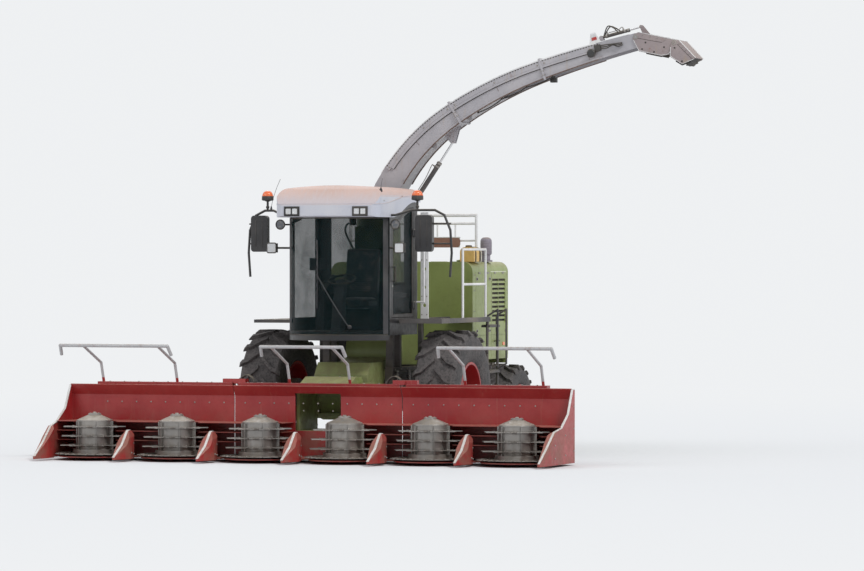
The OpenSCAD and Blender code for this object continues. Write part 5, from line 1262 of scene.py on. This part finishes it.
def cab_side_lamps(side, word):
    foot = stand(side * BEACON_X, ARM_Y)
    form = Form(f"beacon_dome_{word}", "amber", sharp=60)
    form.dome(at(side * BEACON_X, ARM_Y, 3.699), 0.0775, 0.083)
    cup = [(0.060, 3.640), (0.082, 3.646), (0.084, 3.660), (0.082, 3.700), (0.0795, 3.706)]
    form = Form(f"beacon_foot_{word}", "black_plastic")
    form.lathe(cup, foot, 36).band(0.017, 0.024, 3.53, 0.035, 0.005, foot, 20)
    # mirror glass in its recess, a seal round it, clamps and two shallow ribs on the shell's back
    x = side * MIRROR_X
    form = Form(f"mirror_glass_{word}", "mirror")
    form.plate(at(x, -0.928, MIRROR_Z), BEHIND, 0.214, 0.476, 0.026, 0.001, 0.007)
    seal = [at(x + u, -0.920, MIRROR_Z + v) for u, v in rounded(0.216, 0.478, 0.028, 5)]
    form = Form(f"mirror_trim_{word}", "black_plastic").wire(seal + seal[:1], 0.004)
    for z in (3.03, 3.31):
        form.block(side * MIRROR_BRACKET_X, ARM_Y, z, 0.03, 0.025, 0.028, 0.008)
    for off in (-0.05, 0.05):
        form.block(x + off, -1.005, 3.175, 0.008, 0.004, 0.185)
    # square lamp and round lamp under the roof's corner
    x, z = side * WORK_LAMP[0], WORK_LAMP[1]
    lamp = at(x, -1.23, z)
    round_lamp = facing(at(side * ROUND_LAMP[0], -1.13, ROUND_LAMP[1]), AHEAD)
    form = Form(f"lamp_frames_{word}", "black_plastic")
    form.bead(rounded(0.136, 0.136, 0.022), 0.002, facing(lamp, AHEAD), 0.009, 8)
    for dz in (-0.035, 0.0, 0.035):
        form.block(x, -1.139, z + dz, 0.055, 0.003, 0.006, 0.002)
    form.lathe([(0.071, -0.004), (0.074, 0.004), (0.066, 0.010), (0.060, 0.004)], round_lamp, 36)
    Form(f"lamp_lens_{word}", "clear_lens").plate(lamp, AHEAD, 0.122, 0.122, 0.016, 0.0, 0.006)
    form = Form(f"round_lens_{word}", "dark_lens")
    form.lathe([(0.060, 0.0), (0.056, 0.006), (0.034, 0.010), (0, 0.012)], round_lamp, 36)
    # lamps in the roof's front
    front = at(side * 0.51, -1.606, 3.481)
    form = Form(f"roof_lamp_frames_{word}", "black_plastic")
    form.plate(front, AHEAD, 0.214, 0.124, 0.014, 0.0, 0.004)
    glass = Form(f"roof_lamp_lenses_{word}", "clear_lens")
    for off in (-0.048, 0.048):
        middle = front + ACROSS * off
        form.bead(rounded(0.084, 0.086, 0.014), 0.006, facing(middle, AHEAD), 0.005, 8)
        glass.plate(middle, AHEAD, 0.078, 0.080, 0.012, 0.003, 0.0075)
        for row in (-1, 0, 1):
            for col in (-1, 0, 1):
                place = facing(front + Vector((off + col * 0.024, 0, row * 0.025)), AHEAD)
                glass.lathe([(0.0105, 0.0072), (0.007, 0.0105), (0, 0.0115)], place, 12)
    # rear lamps on the hitch plate: red outside, amber inside
    for k, (name, look) in enumerate((("red", "red_lens"), ("amber", "amber"))):
        x = side * (0.645 - 0.115 * k)
        form = Form(f"rear_lamp_{name}_{word}", look).block(x, 4.1675, 1.175, 0.052, 0.0045, 0.049, 0.006)
        for dx in (-0.026, 0, 0.026):
            form.block(x + dx, 4.17225, 1.175, 0.008, 0.00225, 0.04, 0.002)


SCREEN_C = -0.65
SCREEN_R = 0.85


def on_screen(x, z, out=0.0):
    """Point on the curved windscreen."""
    r = SCREEN_R + out
    return at(x, SCREEN_C - sqrt(r * r - x * x), z)


def cab_front_details():
    # wiper: arm from the sill, blade upright
    pivot = facing(on_screen(0.30, 1.86, 0.002), (0.3, -1, 0))
    form = Form("wiper", "trim").lathe([(0.03, 0), (0.03, 0.012), (0.018, 0.03), (0, 0.03)], pivot)
    form.tube([on_screen(0.30 - 0.47 * k / 8, 1.86 + 0.74 * k / 8, 0.036) for k in range(9)], 0.008, steps=2)
    blade = [on_screen(-0.17 + 0.012 * sin(k * 0.3), 2.15 + 0.1 * k, 0.026) for k in range(10)]
    form.tube(blade, 0.007, 6, steps=2)
    for k in range(10):
        clip = on_screen(-0.17, 2.15 + 0.1 * k, 0.014)
        form.box(clip - Vector((0.006, 0.008, 0.03)), clip + Vector((0.006, 0.010, 0.03)), 0.002)
    form = Form("wiper_rubber", "rubber")
    form.ribbon([on_screen(-0.17, 2.12 + 0.05 * k, 0.006) for k in range(20)], ACROSS, 0.005, 0.010)
    # seal along the windscreen's lower edge and the roof, and edge strips as dark as the pillars
    form = Form("screen_seal", "rubber")
    for z, out, radius in ((1.745, 0.004, 0.009), (3.388, 0.003, 0.008)):
        form.wire([on_screen(x, z, out) for x in shares(-0.738, 1.476, 24)], radius, 8)
    form = Form("screen_edges", "trim")
    for side in SIDES:
        path = [on_screen(side * 0.715, z, 0.003) for z in shares(1.76, 1.62, 10)]
        form.ribbon(path, (side * 0.75, 0.9, 0), 0.085, 0.004)


def on_roof(start, ray):
    """Where a ray from a point in the machine's axes meets the roof."""
    piece = NODES["cab_roof"]
    back = piece.matrix_world.inverted()
    hit, place, _, _ = piece.ray_cast(back @ at(*start), back.to_3x3() @ Vector(ray))
    return piece.matrix_world @ place if hit else None


RIDGE_Z = 3.585


def roof_details():
    # pressed edge: level across the front, round the corners, then rising over each side
    paths = [[on_roof((x, -3.0, RIDGE_Z), BEHIND) for x in shares(-0.66, 1.32, 24)]]
    for side in SIDES:
        path = []
        for k in range(9):
            a = radians(11.25 * k)
            start = (side * (0.66 + 2 * sin(a)), -1.50 - 2 * cos(a), RIDGE_Z)
            path.append(on_roof(start, (-side * sin(a), cos(a), 0)))
        for t in shares(0, 1, 16)[1:]:
            start = (side * 3, -1.50 + 1.28 * t, RIDGE_Z + 0.13 * (3 * t ** 2 - 2 * t ** 3))
            path.append(on_roof(start, (-side, 0, 0)))
        paths.append(path)
    form = Form("roof_ridge", "roof_paint")
    for path in paths:
        form.wire([p for p in path if p], 0.008)
    form = Form("roof_bolts", "bolts")
    for side in SIDES:
        rows = [(side * 0.78, y, z) for y, z in ((-1.36, 3.63), (-0.62, 3.70), (0.02, 3.72))]
        form.bolt_rows(rows, ACROSS * side, 0.010, 1)
    # antennas: a short one on the front corner, a long whip on the right arm
    foot = at(0.735, -1.36, 3.772)
    profile = [(0.022, -0.02), (0.022, 0.006), (0.012, 0.03), (0.006, 0.045), (0, 0.046)]
    form = Form("antennas", "trim").lathe(profile, Matrix.Translation(foot), 16)
    form.tube([foot + Vector(p) for p in ((0, 0, 0.04), (0.004, 0.01, 0.1), (0.014, 0.025, 0.17))], 0.0028, 6)
    foot = at(-1.075, ARM_Y, ARM_Z + 0.014)
    form.lathe([(0.016, 0), (0.016, 0.012), (0.007, 0.05), (0.003, 0.052)], Matrix.Translation(foot), 12)
    whip = ((0, 0, 0.04), (0.03, 0, 0.16), (0.075, 0.01, 0.30), (0.13, 0.02, 0.43))
    form.tube([foot + Vector(p) for p in whip], 0.003, 6)


DOOR_X = 0.75


def door_details():
    form = Form("door_fittings", "steel", "cab_door")
    for z in (2.11, 3.14):
        cap = [(0.0155, z + 0.088), (0.0155, z + 0.094), (0.009, z + 0.1), (0, z + 0.1)]
        form.lathe(cap, stand(0.766, -0.066), 16)
        rows = [(DOOR_X, y, z + dz) for y in (-0.115, -0.098) for dz in (0.022, 0.068)]
        form.bolt_rows(rows, ACROSS, 0.006)
    # key barrel in the handle's lower foot
    barrel = [(0.016, 0), (0.016, 0.006), (0.009, 0.008), (0, 0.007)]
    form.lathe(barrel, facing(at(DOOR_X, -0.935, 2.43), ACROSS))
    # grip, and the seal between glass and frame
    form = Form("door_grip", "rubber", "cab_door")
    form.wire([at(DOOR_X + 0.042, -0.935, z) for z in shares(2.50, 0.2, 6)], 0.013, 10)
    for y0, y1, z1 in ((-0.915, -0.907, 3.31), (-0.123, -0.115, 3.46), (-0.915, -0.115, 2.040)):
        form.box(at(0.742, y0, 2.032), at(0.753, y1, z1), 0.002)
    # pull handle inside the door
    path = line(
        (0.722, -0.86, 2.30), (0.69, -0.86, 2.31), (0.68, -0.70, 2.33), (0.68, -0.40, 2.33),
        (0.69, -0.20, 2.31), (0.722, -0.20, 2.30),
    )
    form = Form("door_pull", "trim", "cab_door").tube(path, 0.012, 10)
    for y in (-0.86, -0.20):
        foot = facing(at(0.7245, y, 2.30), -ACROSS)
        form.lathe([(0.022, 0), (0.022, 0.006), (0.014, 0.010), (0, 0.010)], foot, 16)
    form.box(at(0.7155, -0.92, 2.27), at(0.7215, -0.11, 2.33), 0.002)


# Seat: size of the pads' cells in metres, and frames that the cloth runs for
VOXEL = 0.008
CLOTH_FRAMES = 20


def pad(name, low, high, cap, tilt=0.0, pivot=None):
    """Upholstered pad: a soft block blown up by the cloth solver, cap metres at the most."""
    bm = bmesh.new()
    bmesh.ops.create_cube(bm, size=1)
    bmesh.ops.subdivide_edges(bm, edges=bm.edges[:], cuts=18, use_grid_fill=True)
    for v in bm.verts:
        # round the block's corners in plan and let its faces swell between them
        u = [max(-1.0, min(1.0, c)) for c in v.co * 2]
        length = (abs(u[0]) ** 6 + abs(u[1]) ** 6 + abs(u[2]) ** 6) ** (1 / 6)
        v.co = scaled(Vector(u) / length, high - low) / 2 + (high + low) / 2
    if tilt:
        bmesh.ops.rotate(bm, verts=bm.verts, cent=pivot, matrix=Matrix.Rotation(tilt, 3, "X"))
    mesh = bpy.data.meshes.new(name)
    bm.to_mesh(mesh)
    bm.free()
    piece = add_object(name, mesh)
    puff(piece, cap)
    for face in piece.data.polygons:
        face.use_smooth = True
    piece.data.materials.append(MATERIALS["fabric"])
    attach(piece, "machine")


def puff(piece, cap):
    """Remesh, swell under cloth pressure, and keep each point within cap of where it began."""
    remesh = piece.modifiers.new("remesh", "REMESH")
    remesh.mode = "VOXEL"
    remesh.voxel_size = VOXEL
    apply_modifiers(piece)
    start = [v.co.copy() for v in piece.data.vertices]
    cloth = piece.modifiers.new("cloth", "CLOTH")
    cloth.settings.quality = 5
    cloth.settings.use_pressure = True
    cloth.settings.uniform_pressure_force = 4
    cloth.settings.effector_weights.gravity = 0
    cloth.point_cache.frame_start = 1
    cloth.point_cache.frame_end = CLOTH_FRAMES
    for number in range(1, CLOTH_FRAMES + 1):
        SCENE.frame_set(number)
    apply_modifiers(piece)
    SCENE.frame_set(1)
    for v, first in zip(piece.data.vertices, start):
        step = v.co - first
        if step.length > cap:
            v.co = first + step * (cap / step.length)


def apply_modifiers(piece):
    graph = bpy.context.evaluated_depsgraph_get()
    graph.update()
    mesh = bpy.data.meshes.new_from_object(piece.evaluated_get(graph))
    old = piece.data
    piece.modifiers.clear()
    piece.data = mesh
    bpy.data.meshes.remove(old)


def seat_details():
    pad("seat_cushion", at(-0.262, -0.645, 2.112), at(0.262, -0.125, 2.258), 0.010)
    lean = -atan2(0.09, 0.65) * 0.92
    pad("seat_back", at(-0.247, -0.205, 2.225), at(0.247, -0.075, 2.965), 0.009, lean, at(0, -0.14, 2.235))
    # piping along the pads' seams
    form = Form("seat_piping", "trim")
    for z in (2.150, 2.222):
        seam_and_painted_shadow = [at(x, -0.385 + y, z) for x, y in rounded(0.508, 0.50, 0.06, 5)]
        form.wire(seam_and_painted_shadow + seam_and_painted_shadow[:1], 0.005)
    # bellows of the seat's suspension
    form = Form("seat_bellows", "rubber")
    for k in range(6):
        z = 1.86 + 0.042 * k
        less = 0.02 * (k % 2)
        form.prism(rounded(0.49 - less, 0.33 - less, 0.05), z, z + 0.034, stand(0, -0.27))
    # grip of the driving lever, the screen that looks back at the seat, and buttons
    grip = [
        (0.020, -0.09), (0.024, -0.06), (0.022, -0.02), (0.028, 0.02), (0.033, 0.06), (0.028, 0.085),
        (0, 0.092),
    ]
    Form("lever_grip", "trim").lathe(grip, stand(-0.29, -0.532, 2.505) @ turned(10, "X"))
    turn = stand(-0.42, -0.8, 2.74) @ turned(25, "Z") @ turned(-15, "X")
    turn = turn @ Matrix.Translation((0, 0.025, 0)) @ turned(-90, "X")
    Form("monitor_face", "screen_face").prism(rounded(0.216, 0.146, 0.008), 0.0, 0.003, turn)
    form = Form("console_keys", "trim")
    for k in range(8):
        x = -0.4325 + 0.04 * (k % 4)
        form.block(x, -0.4875 + 0.05 * (k // 4), 2.476, 0.0125, 0.0125, 0.016, 0.004)
    form.lathe([(0.02, 2.40), (0.02, 2.52), (0.026, 2.54), (0.02, 2.56), (0, 2.565)], stand(-0.41, -0.22), 16)
    # grips of the steering wheel
    turn = stand(0, -0.96, 2.52) @ turned(20, "X")
    form = Form("wheel_grips", "rubber")
    for start in (20, 200):
        form.tube([turn @ polar(0.19, radians(start + 10 * k)) for k in range(13)], 0.0185, 10, steps=1)
    form.lathe([(0.05, 0.010), (0.046, 0.020), (0.02, 0.026), (0, 0.026)], turn, 24)


# Body
SIDE_X = 1.1
MESH_R = 0.0022
PLEAT = 0.010
SWAP_XY = Matrix(((0, 1, 0, 0), (1, 0, 0, 0), (0, 0, 1, 0), (0, 0, 0, 1)))


def core(form, u0, u1, v, low, high, near, far, along_y=False):
    """Pleated screen behind a grille, with the frame (near to far) that holds it to the panel."""
    count = int((u1 - u0) / PLEAT)
    front = [(u, v + 0.005 * (k % 2)) for k, u in enumerate(shares(u0, u1 - u0, count))]
    outline = front + [(u, w - 0.003) for u, w in reversed(front)]
    form.prism(outline, low, high, stand(0, 0) @ (SWAP_XY if along_y else Matrix()))
    b = 0.008
    for (a0, z0), (a1, z1) in (
        ((u0 - b, low - b), (u1 + b, low + b)), ((u0 - b, high - b), (u1 + b, high + b)),
        ((u0 - b, low), (u0 + b, high)), ((u1 - b, low), (u1 + b, high)),
    ):
        if along_y:
            form.box(at(near, a0, z0), at(far, a1, z1), 0.002)
        else:
            form.box(at(a0, near, z0), at(a1, far, z1), 0.002)


def side_details(side, word):
    out = ACROSS * side
    near, far = sorted((side * 1.066, side * 1.081))
    form = Form(f"side_core_{word}", "mesh")
    core(form, 2.36, 3.0, side * 1.074, 1.84, 2.54, near, far, along_y=True)
    # mesh behind the slats of the side grille
    form = Form(f"grille_mesh_{word}", "mesh")
    for k in range(33):
        z = 1.862 + 0.02 * k
        form.wire(line((1.086, 2.382, z), (1.086, 2.978, z), side=side), MESH_R, 4)
    for k in range(30):
        y = 2.384 + 0.0203 * k
        form.wire(line((1.084, y, 1.862), (1.084, y, 2.518), side=side), MESH_R, 4)
    # latches, hinges and bolts of the service doors
    form = Form(f"side_fittings_{word}", "bolts")
    locks = Form(f"side_locks_{word}", "trim")
    for y, z in ((1.70, 1.76), (2.27, 1.76), (1.70, 2.52), (2.27, 2.52), (3.0, 1.76)):
        middle = at(side * SIDE_X, y, z)
        form.plate(middle, out, 0.075, 0.045, 0.012, 0.0, 0.004)
        locks.lathe([(0.014, 0.004), (0.014, 0.008), (0.006, 0.012), (0, 0.012)], facing(middle, out), 16)
    for y in (1.80, 2.18, 2.50, 2.86):
        for z in (2.601, 2.613):
            form.wire(line((1.104, y - 0.04, z), (1.104, y + 0.04, z), side=side), 0.006, 8)
    x = side * SIDE_X
    rows = [(x, y, z) for y in (1.56, 1.60, 3.06) for z in (1.45, 1.75, 2.05, 2.35, 2.58)]
    form.bolt_rows(rows, out, 0.009, 2)
    form.bolt_rows([(x, y, z) for y in (2.365, 2.995) for z in (1.90, 2.19, 2.48)], out, 0.008, 2)
    # pull handles on the doors, side reflectors, and the pale edge along the shoulder
    form = Form(f"side_handles_{word}", "black_plastic")
    handle = [
        (1.10, 0, 1.60), (1.13, 0, 1.605), (1.138, 0.03, 1.605), (1.138, 0.13, 1.605), (1.13, 0.16, 1.605),
        (1.10, 0.16, 1.60),
    ]
    for y in (1.76, 2.46):
        form.tube([at(side * x, y + dy, z) for x, dy, z in handle], 0.009)
    # the reflectors take the amber lens's faint glow: painted light
    form = Form(f"side_reflectors_{word}", "amber")
    for y in (2.9, 1.66):
        form.plate(at(side * SIDE_X, y, 1.56), out, 0.09, 0.045, 0.008, 0.0, 0.006)
    form = Form(f"shoulder_edge_{word}", "pale_edge")
    form.ribbon([at(side * 1.0995, 2.31 + 0.1 * k, 2.625) for k in range(8)], UP, 0.014, 0.003)


def screen_details():
    """Fine mesh, rim bolts and hub of the turning screen on the right side."""
    centre = at(-1.1455, 1.98, 2.25)
    turn = facing(centre, -ACROSS)
    form = Form("screen_mesh", "mesh", "cooling_screen")
    for k in range(1, 15):
        ring = [turn @ polar(0.075 + 0.0168 * k, 2 * pi * i / 40, 0.002) for i in range(40)]
        form.wire(ring + ring[:1], 0.002, 4)
    for i in range(36):
        form.wire([turn @ polar(r, 2 * pi * i / 36, 0.003) for r in (0.075, 0.315)], MESH_R, 4)
    form = Form("screen_bolts", "bolts", "cooling_screen")
    form.bolts(centre, -ACROSS, 0.322, 16, 0.006).bolts(centre, -ACROSS, 0.055, 6, 0.007)
    form.lathe([(0.034, 0.0), (0.034, 0.006), (0.02, 0.012), (0, 0.012)], turn, 24)


def hood_details():
    core(Form("tail_core", "mesh", "rear_hood"), -0.56, 0.56, 3.868, 1.60, 2.28, 3.862, 3.881)
    # mesh behind the tail grille
    form = Form("tail_mesh", "mesh", "rear_hood")
    for k in range(30):
        z = 1.642 + 0.02 * k
        form.wire(line((-0.518, 3.882, z), (0.518, 3.882, z)), MESH_R, 4)
    for k in range(52):
        x = -0.51 + 0.02 * k
        form.wire(line((x, 3.880, 1.642), (x, 3.880, 2.238)), MESH_R, 4)
    form = Form("hood_handles", "black_plastic", "rear_hood")
    handle = [
        (-0.07, 3.90, 1.50), (-0.07, 3.935, 1.505), (0, 3.942, 1.505), (0.07, 3.935, 1.505),
        (0.07, 3.90, 1.50),
    ]
    for x in (-0.4, 0.4):
        form.tube([at(x + dx, y, z) for dx, y, z in handle], 0.009)
    rows = [(x, 3.90, z) for x in (-0.56, -0.28, 0.0, 0.28, 0.56) for z in (2.28, 1.60)]
    form = Form("hood_bolts", "bolts", "rear_hood").bolt_rows(rows, BEHIND, 0.009, 0)
    form.bolt_rows([(x, y, 2.77) for x in (-0.8, 0.8) for y in (2.42, 2.7, 2.98)], UP, 0.010, 1)
    # ribs pressed into the lid
    form = Form("hood_ribs", "green_paint", "rear_hood")
    for x in (-0.45, -0.15, 0.15, 0.45):
        form.ribbon([at(x, y, 2.770) for y in shares(2.42, 0.6, 6)], ACROSS, 0.05, 0.010)


TREAD = 0.058
DECK_Z = 1.95
# Deck plates: name, x and y from and to
DECKS = [("deck_left", 0.80, 1.405, -0.73, 1.37), ("deck_right", -1.405, -0.80, -0.73, 0.68)]
# Feet of the railing and the portal: place, side of the foot, corner's radius and how far out its bolts are
RAIL_FEET = [
    (1.35, 0.35, DECK_Z, 0.085, 0.012, 0.028), (1.35, 1.35, DECK_Z, 0.085, 0.012, 0.028),
    (-0.92, 2.0, 2.77, 0.10, 0.014, 0.034), (0.92, 2.0, 2.77, 0.10, 0.014, 0.034),
]


def deck_details():
    # chequered pattern: raised lozenges on the deck
    for name, x0, x1, y0, y1 in DECKS:
        form = Form(name + "_tread", "bolts", sharp=10)
        for i in range(int((x1 - x0) / TREAD)):
            for j in range(int((y1 - y0) / TREAD)):
                a, b = (0.007, 0.021) if (i + j) % 2 else (0.021, 0.007)
                middle = at(x0 + TREAD * (i + 0.5), y0 + TREAD * (j + 0.5), DECK_Z)
                corners = ((a, 0), (0, b), (-a, 0), (0, -b))
                ring = form.ring([middle + Vector((dx, dy, -0.0005)) for dx, dy in corners])
                form.fan(ring, form.bm.verts.new(middle + UP * 0.004))
    # toothed edges on the ladder's steps
    form = Form("step_treads", "bolts")
    for i in range(5):
        for k in range(15):
            form.block(1.335, 1.415 + 0.03 * k, 0.534 + 0.33 * i, 0.06, 0.004, 0.005, 0.002)
    form = Form("railing_feet", "white_paint")
    for x, y, z, size, corner, off in RAIL_FEET:
        form.plate(at(x, y, z), UP, size, size, corner, 0.0, 0.008)
        rows = [(x + dx, y + dy, z + 0.008) for dx in (-off, off) for dy in (-off, off)]
        form.bolt_rows(rows, UP, 0.008)
    # bolts of the perforated post, and bolts along the kick plates
    rows = [(x, 0.125, z) for z in (2.02, 2.28, 2.80, 3.32) for x in (0.81, 0.885)]
    form = Form("post_bolts", "bolts").bolt_rows(rows, AHEAD, 0.009)
    form.bolt_rows([(1.4075, -0.6 + 0.24 * k, 1.93) for k in range(9)], -ACROSS, 0.007)
    # horizontal tube that carries the board, with its light upper lip
    form = Form("board_tube", "white_paint").wire(line((-0.97, 2.026, 3.08), (0.97, 2.026, 3.08)), 0.014, 10)
    form.block(0.52, 2.0, 3.129, 0.218, 0.016, 0.007, 0.004)
    form = Form("board_face", "board")
    form.prism(rounded(0.426, 0.150, 0.05, 6), -0.012, 0.012, facing(at(0.52, 2.0, 3.055), AHEAD))


# Outline of the yellow container that its straps follow
CONTAINER = [
    (0.868, 2.772), (0.866, 2.80), (0.866, 2.91), (0.888, 2.966), (0.945, 2.989), (1.01, 2.989),
    (1.067, 2.966), (1.089, 2.91), (1.089, 2.80), (1.087, 2.772),
]


def container_details():
    """Straps, cap ribs and hose of the yellow container; clamps of the stack and ribs of the intake."""
    form = Form("container_straps", "strap")
    for y, width in ((1.87, 0.05), (1.68, 0.035)):
        form.ribbon([at(x, y, z) for x, z in CONTAINER], BEHIND, width, 0.005)
    form = Form("container_band", "pale_strap")
    form.ribbon([at(x, 1.925, z) for x, z in CONTAINER], BEHIND, 0.022, 0.006)
    form = Form("container_cap", "rubber")
    cap = at(0.975, 1.69, 0)
    for i in range(16):
        x = 0.043 * cos(2 * pi * i / 16)
        y = 0.043 * sin(2 * pi * i / 16)
        low = cap + Vector((x - 0.004, y - 0.004, 2.986))
        form.box(low, cap + Vector((x + 0.004, y + 0.004, 3.008)), 0.0015)
    form.lathe([(0.044, 3.004), (0.040, 3.012), (0.0, 3.014)], Matrix.Translation(cap), 24)
    form.tube(line((0.99, 1.955, 2.80), (0.99, 2.0, 2.80), (1.0, 2.08, 2.785), (0.99, 2.2, 2.78)), 0.009)
    # clamps and foot bolts of the exhaust stack
    form = Form("stack_clamps", "steel")
    stack = at(-0.7, 1.9, 0)
    for z in (2.86, 3.07):
        form.band(0.071, 0.077, z, 0.025, 0.003, Matrix.Translation(stack), 36)
        form.box(stack + Vector((0.07, -0.012, z + 0.003)), stack + Vector((0.10, 0.012, z + 0.022)))
    form.bolts(stack + UP * 2.80, UP, 0.098, 8, 0.010)
    form = Form("intake_ribs", "intake_plastic")
    for k in range(7):
        form.band(0.0835, 0.0865, 0.125 + 0.024 * k, 0.014, 0.004, stand(0.985, 2.44, 2.77), 40)
    form.bolts(at(0.985, 2.44, 2.792), UP, 0.079, 6, 0.008)


def chassis_details():
    # hoses along the rails, their clips and bolts, and the hitch's bolts
    hoses = Form("rail_hoses", "hose")
    clips = Form("rail_clips", "bolts")
    for side in SIDES:
        for k in range(3):
            path = []
            for i in range(10):
                x = side * (0.548 + 0.004 * sin(3 * i + k))
                path.append(at(x, -0.3 + 0.42 * i, 1.10 + 0.05 * k + 0.008 * sin(2.1 * i + k)))
            hoses.tube(path, 0.010, steps=3)
        for i in range(8):
            clips.block(side * 0.553, -0.2 + 0.5 * i, 1.15, 0.014, 0.02, 0.075, 0.004)
        ys = (-0.25, 0.0, 0.25, 1.6, 2.1, 2.6, 3.2, 3.6)
        rows = [(side * 0.54, y, z) for y in ys for z in (1.06, 1.24)]
        clips.bolt_rows(rows, ACROSS * side, 0.014, 1)
    rows = [(x, 4.10, z) for x in (-0.34, -0.2, 0.2, 0.34) for z in (0.78, 0.98, 1.18)]
    Form("hitch_bolts", "bolts").bolt_rows(rows, BEHIND, 0.016, 0)


GUARD = [
    (-1.62, 0.54), (-1.62, 0.60), (-1.50, 0.98), (-1.44, 1.02), (-1.36, 1.00), (-1.34, 0.94), (-1.49, 0.52),
    (-1.57, 0.51),
]


def feeder_details():
    form = Form("feeder_bolts", "bolts", "header")
    springs = Form("feed_springs", "steel", "header")
    for side in SIDES:
        x = side * 0.38
        rows = [(x, y, z) for y in (-1.70, -1.55, -1.35, -1.15) for z in (0.42, 0.98)]
        form.bolt_rows(rows, ACROSS * side, 0.013, 1)
        form.bolt_rows([(x, -1.62, z) for z in (0.55, 0.85)], ACROSS * side, 0.016)
        # springs that pull the upper feed rollers down, between two brackets
        coil = []
        for i in range(61):
            a = 2 * pi * i / 6
            coil.append(at(side * 0.425 + 0.020 * cos(a), -1.40 + 0.020 * sin(a), 0.62 + 0.26 * i / 60))
        springs.tube(coil, 0.0045, 6, steps=2)
        for z in (0.60, 0.90):
            springs.block(side * 0.415, -1.40, z, 0.04, 0.03, 0.012, 0.004)
    form.bolt_rows([(x, -1.30, 1.16) for x in (-0.28, -0.1, 0.1, 0.28)], UP, 0.012, 0)
    # guard over the side drive of the feed rollers
    form = Form("drive_guard", "red_paint", "header")
    low = form.ring([at(-0.379, y, z) for y, z in GUARD])
    high = form.ring([at(-0.399, y * 0.98 - 0.03, z * 0.98 + 0.015) for y, z in GUARD])
    form.bm.faces.new(low)
    form.bm.faces.new(high[::-1])
    for i in range(len(GUARD)):
        j = (i + 1) % len(GUARD)
        form.bm.faces.new((low[i], high[i], high[j], low[j]))


make_camera()
make_stage()
make_world()
make_lights()
dress_nodes()
both_sides(wheel_details)
for rotor in ROTORS:
    rotor_details(rotor)
divider_details()
both_sides(end_details)
section_details()
both_sides(fold_hoses)
spout_details()
flap_details()
duct_end_details()
turret_details()
cylinder_fittings()
both_sides(cab_side_lamps)
cab_front_details()
roof_details()
door_details()
seat_details()
both_sides(side_details)
screen_details()
hood_details()
deck_details()
container_details()
chassis_details()
feeder_details()
for form in Form.made:
    form.finish()

bpy.context.scene.view_settings.view_transform = "Standard"
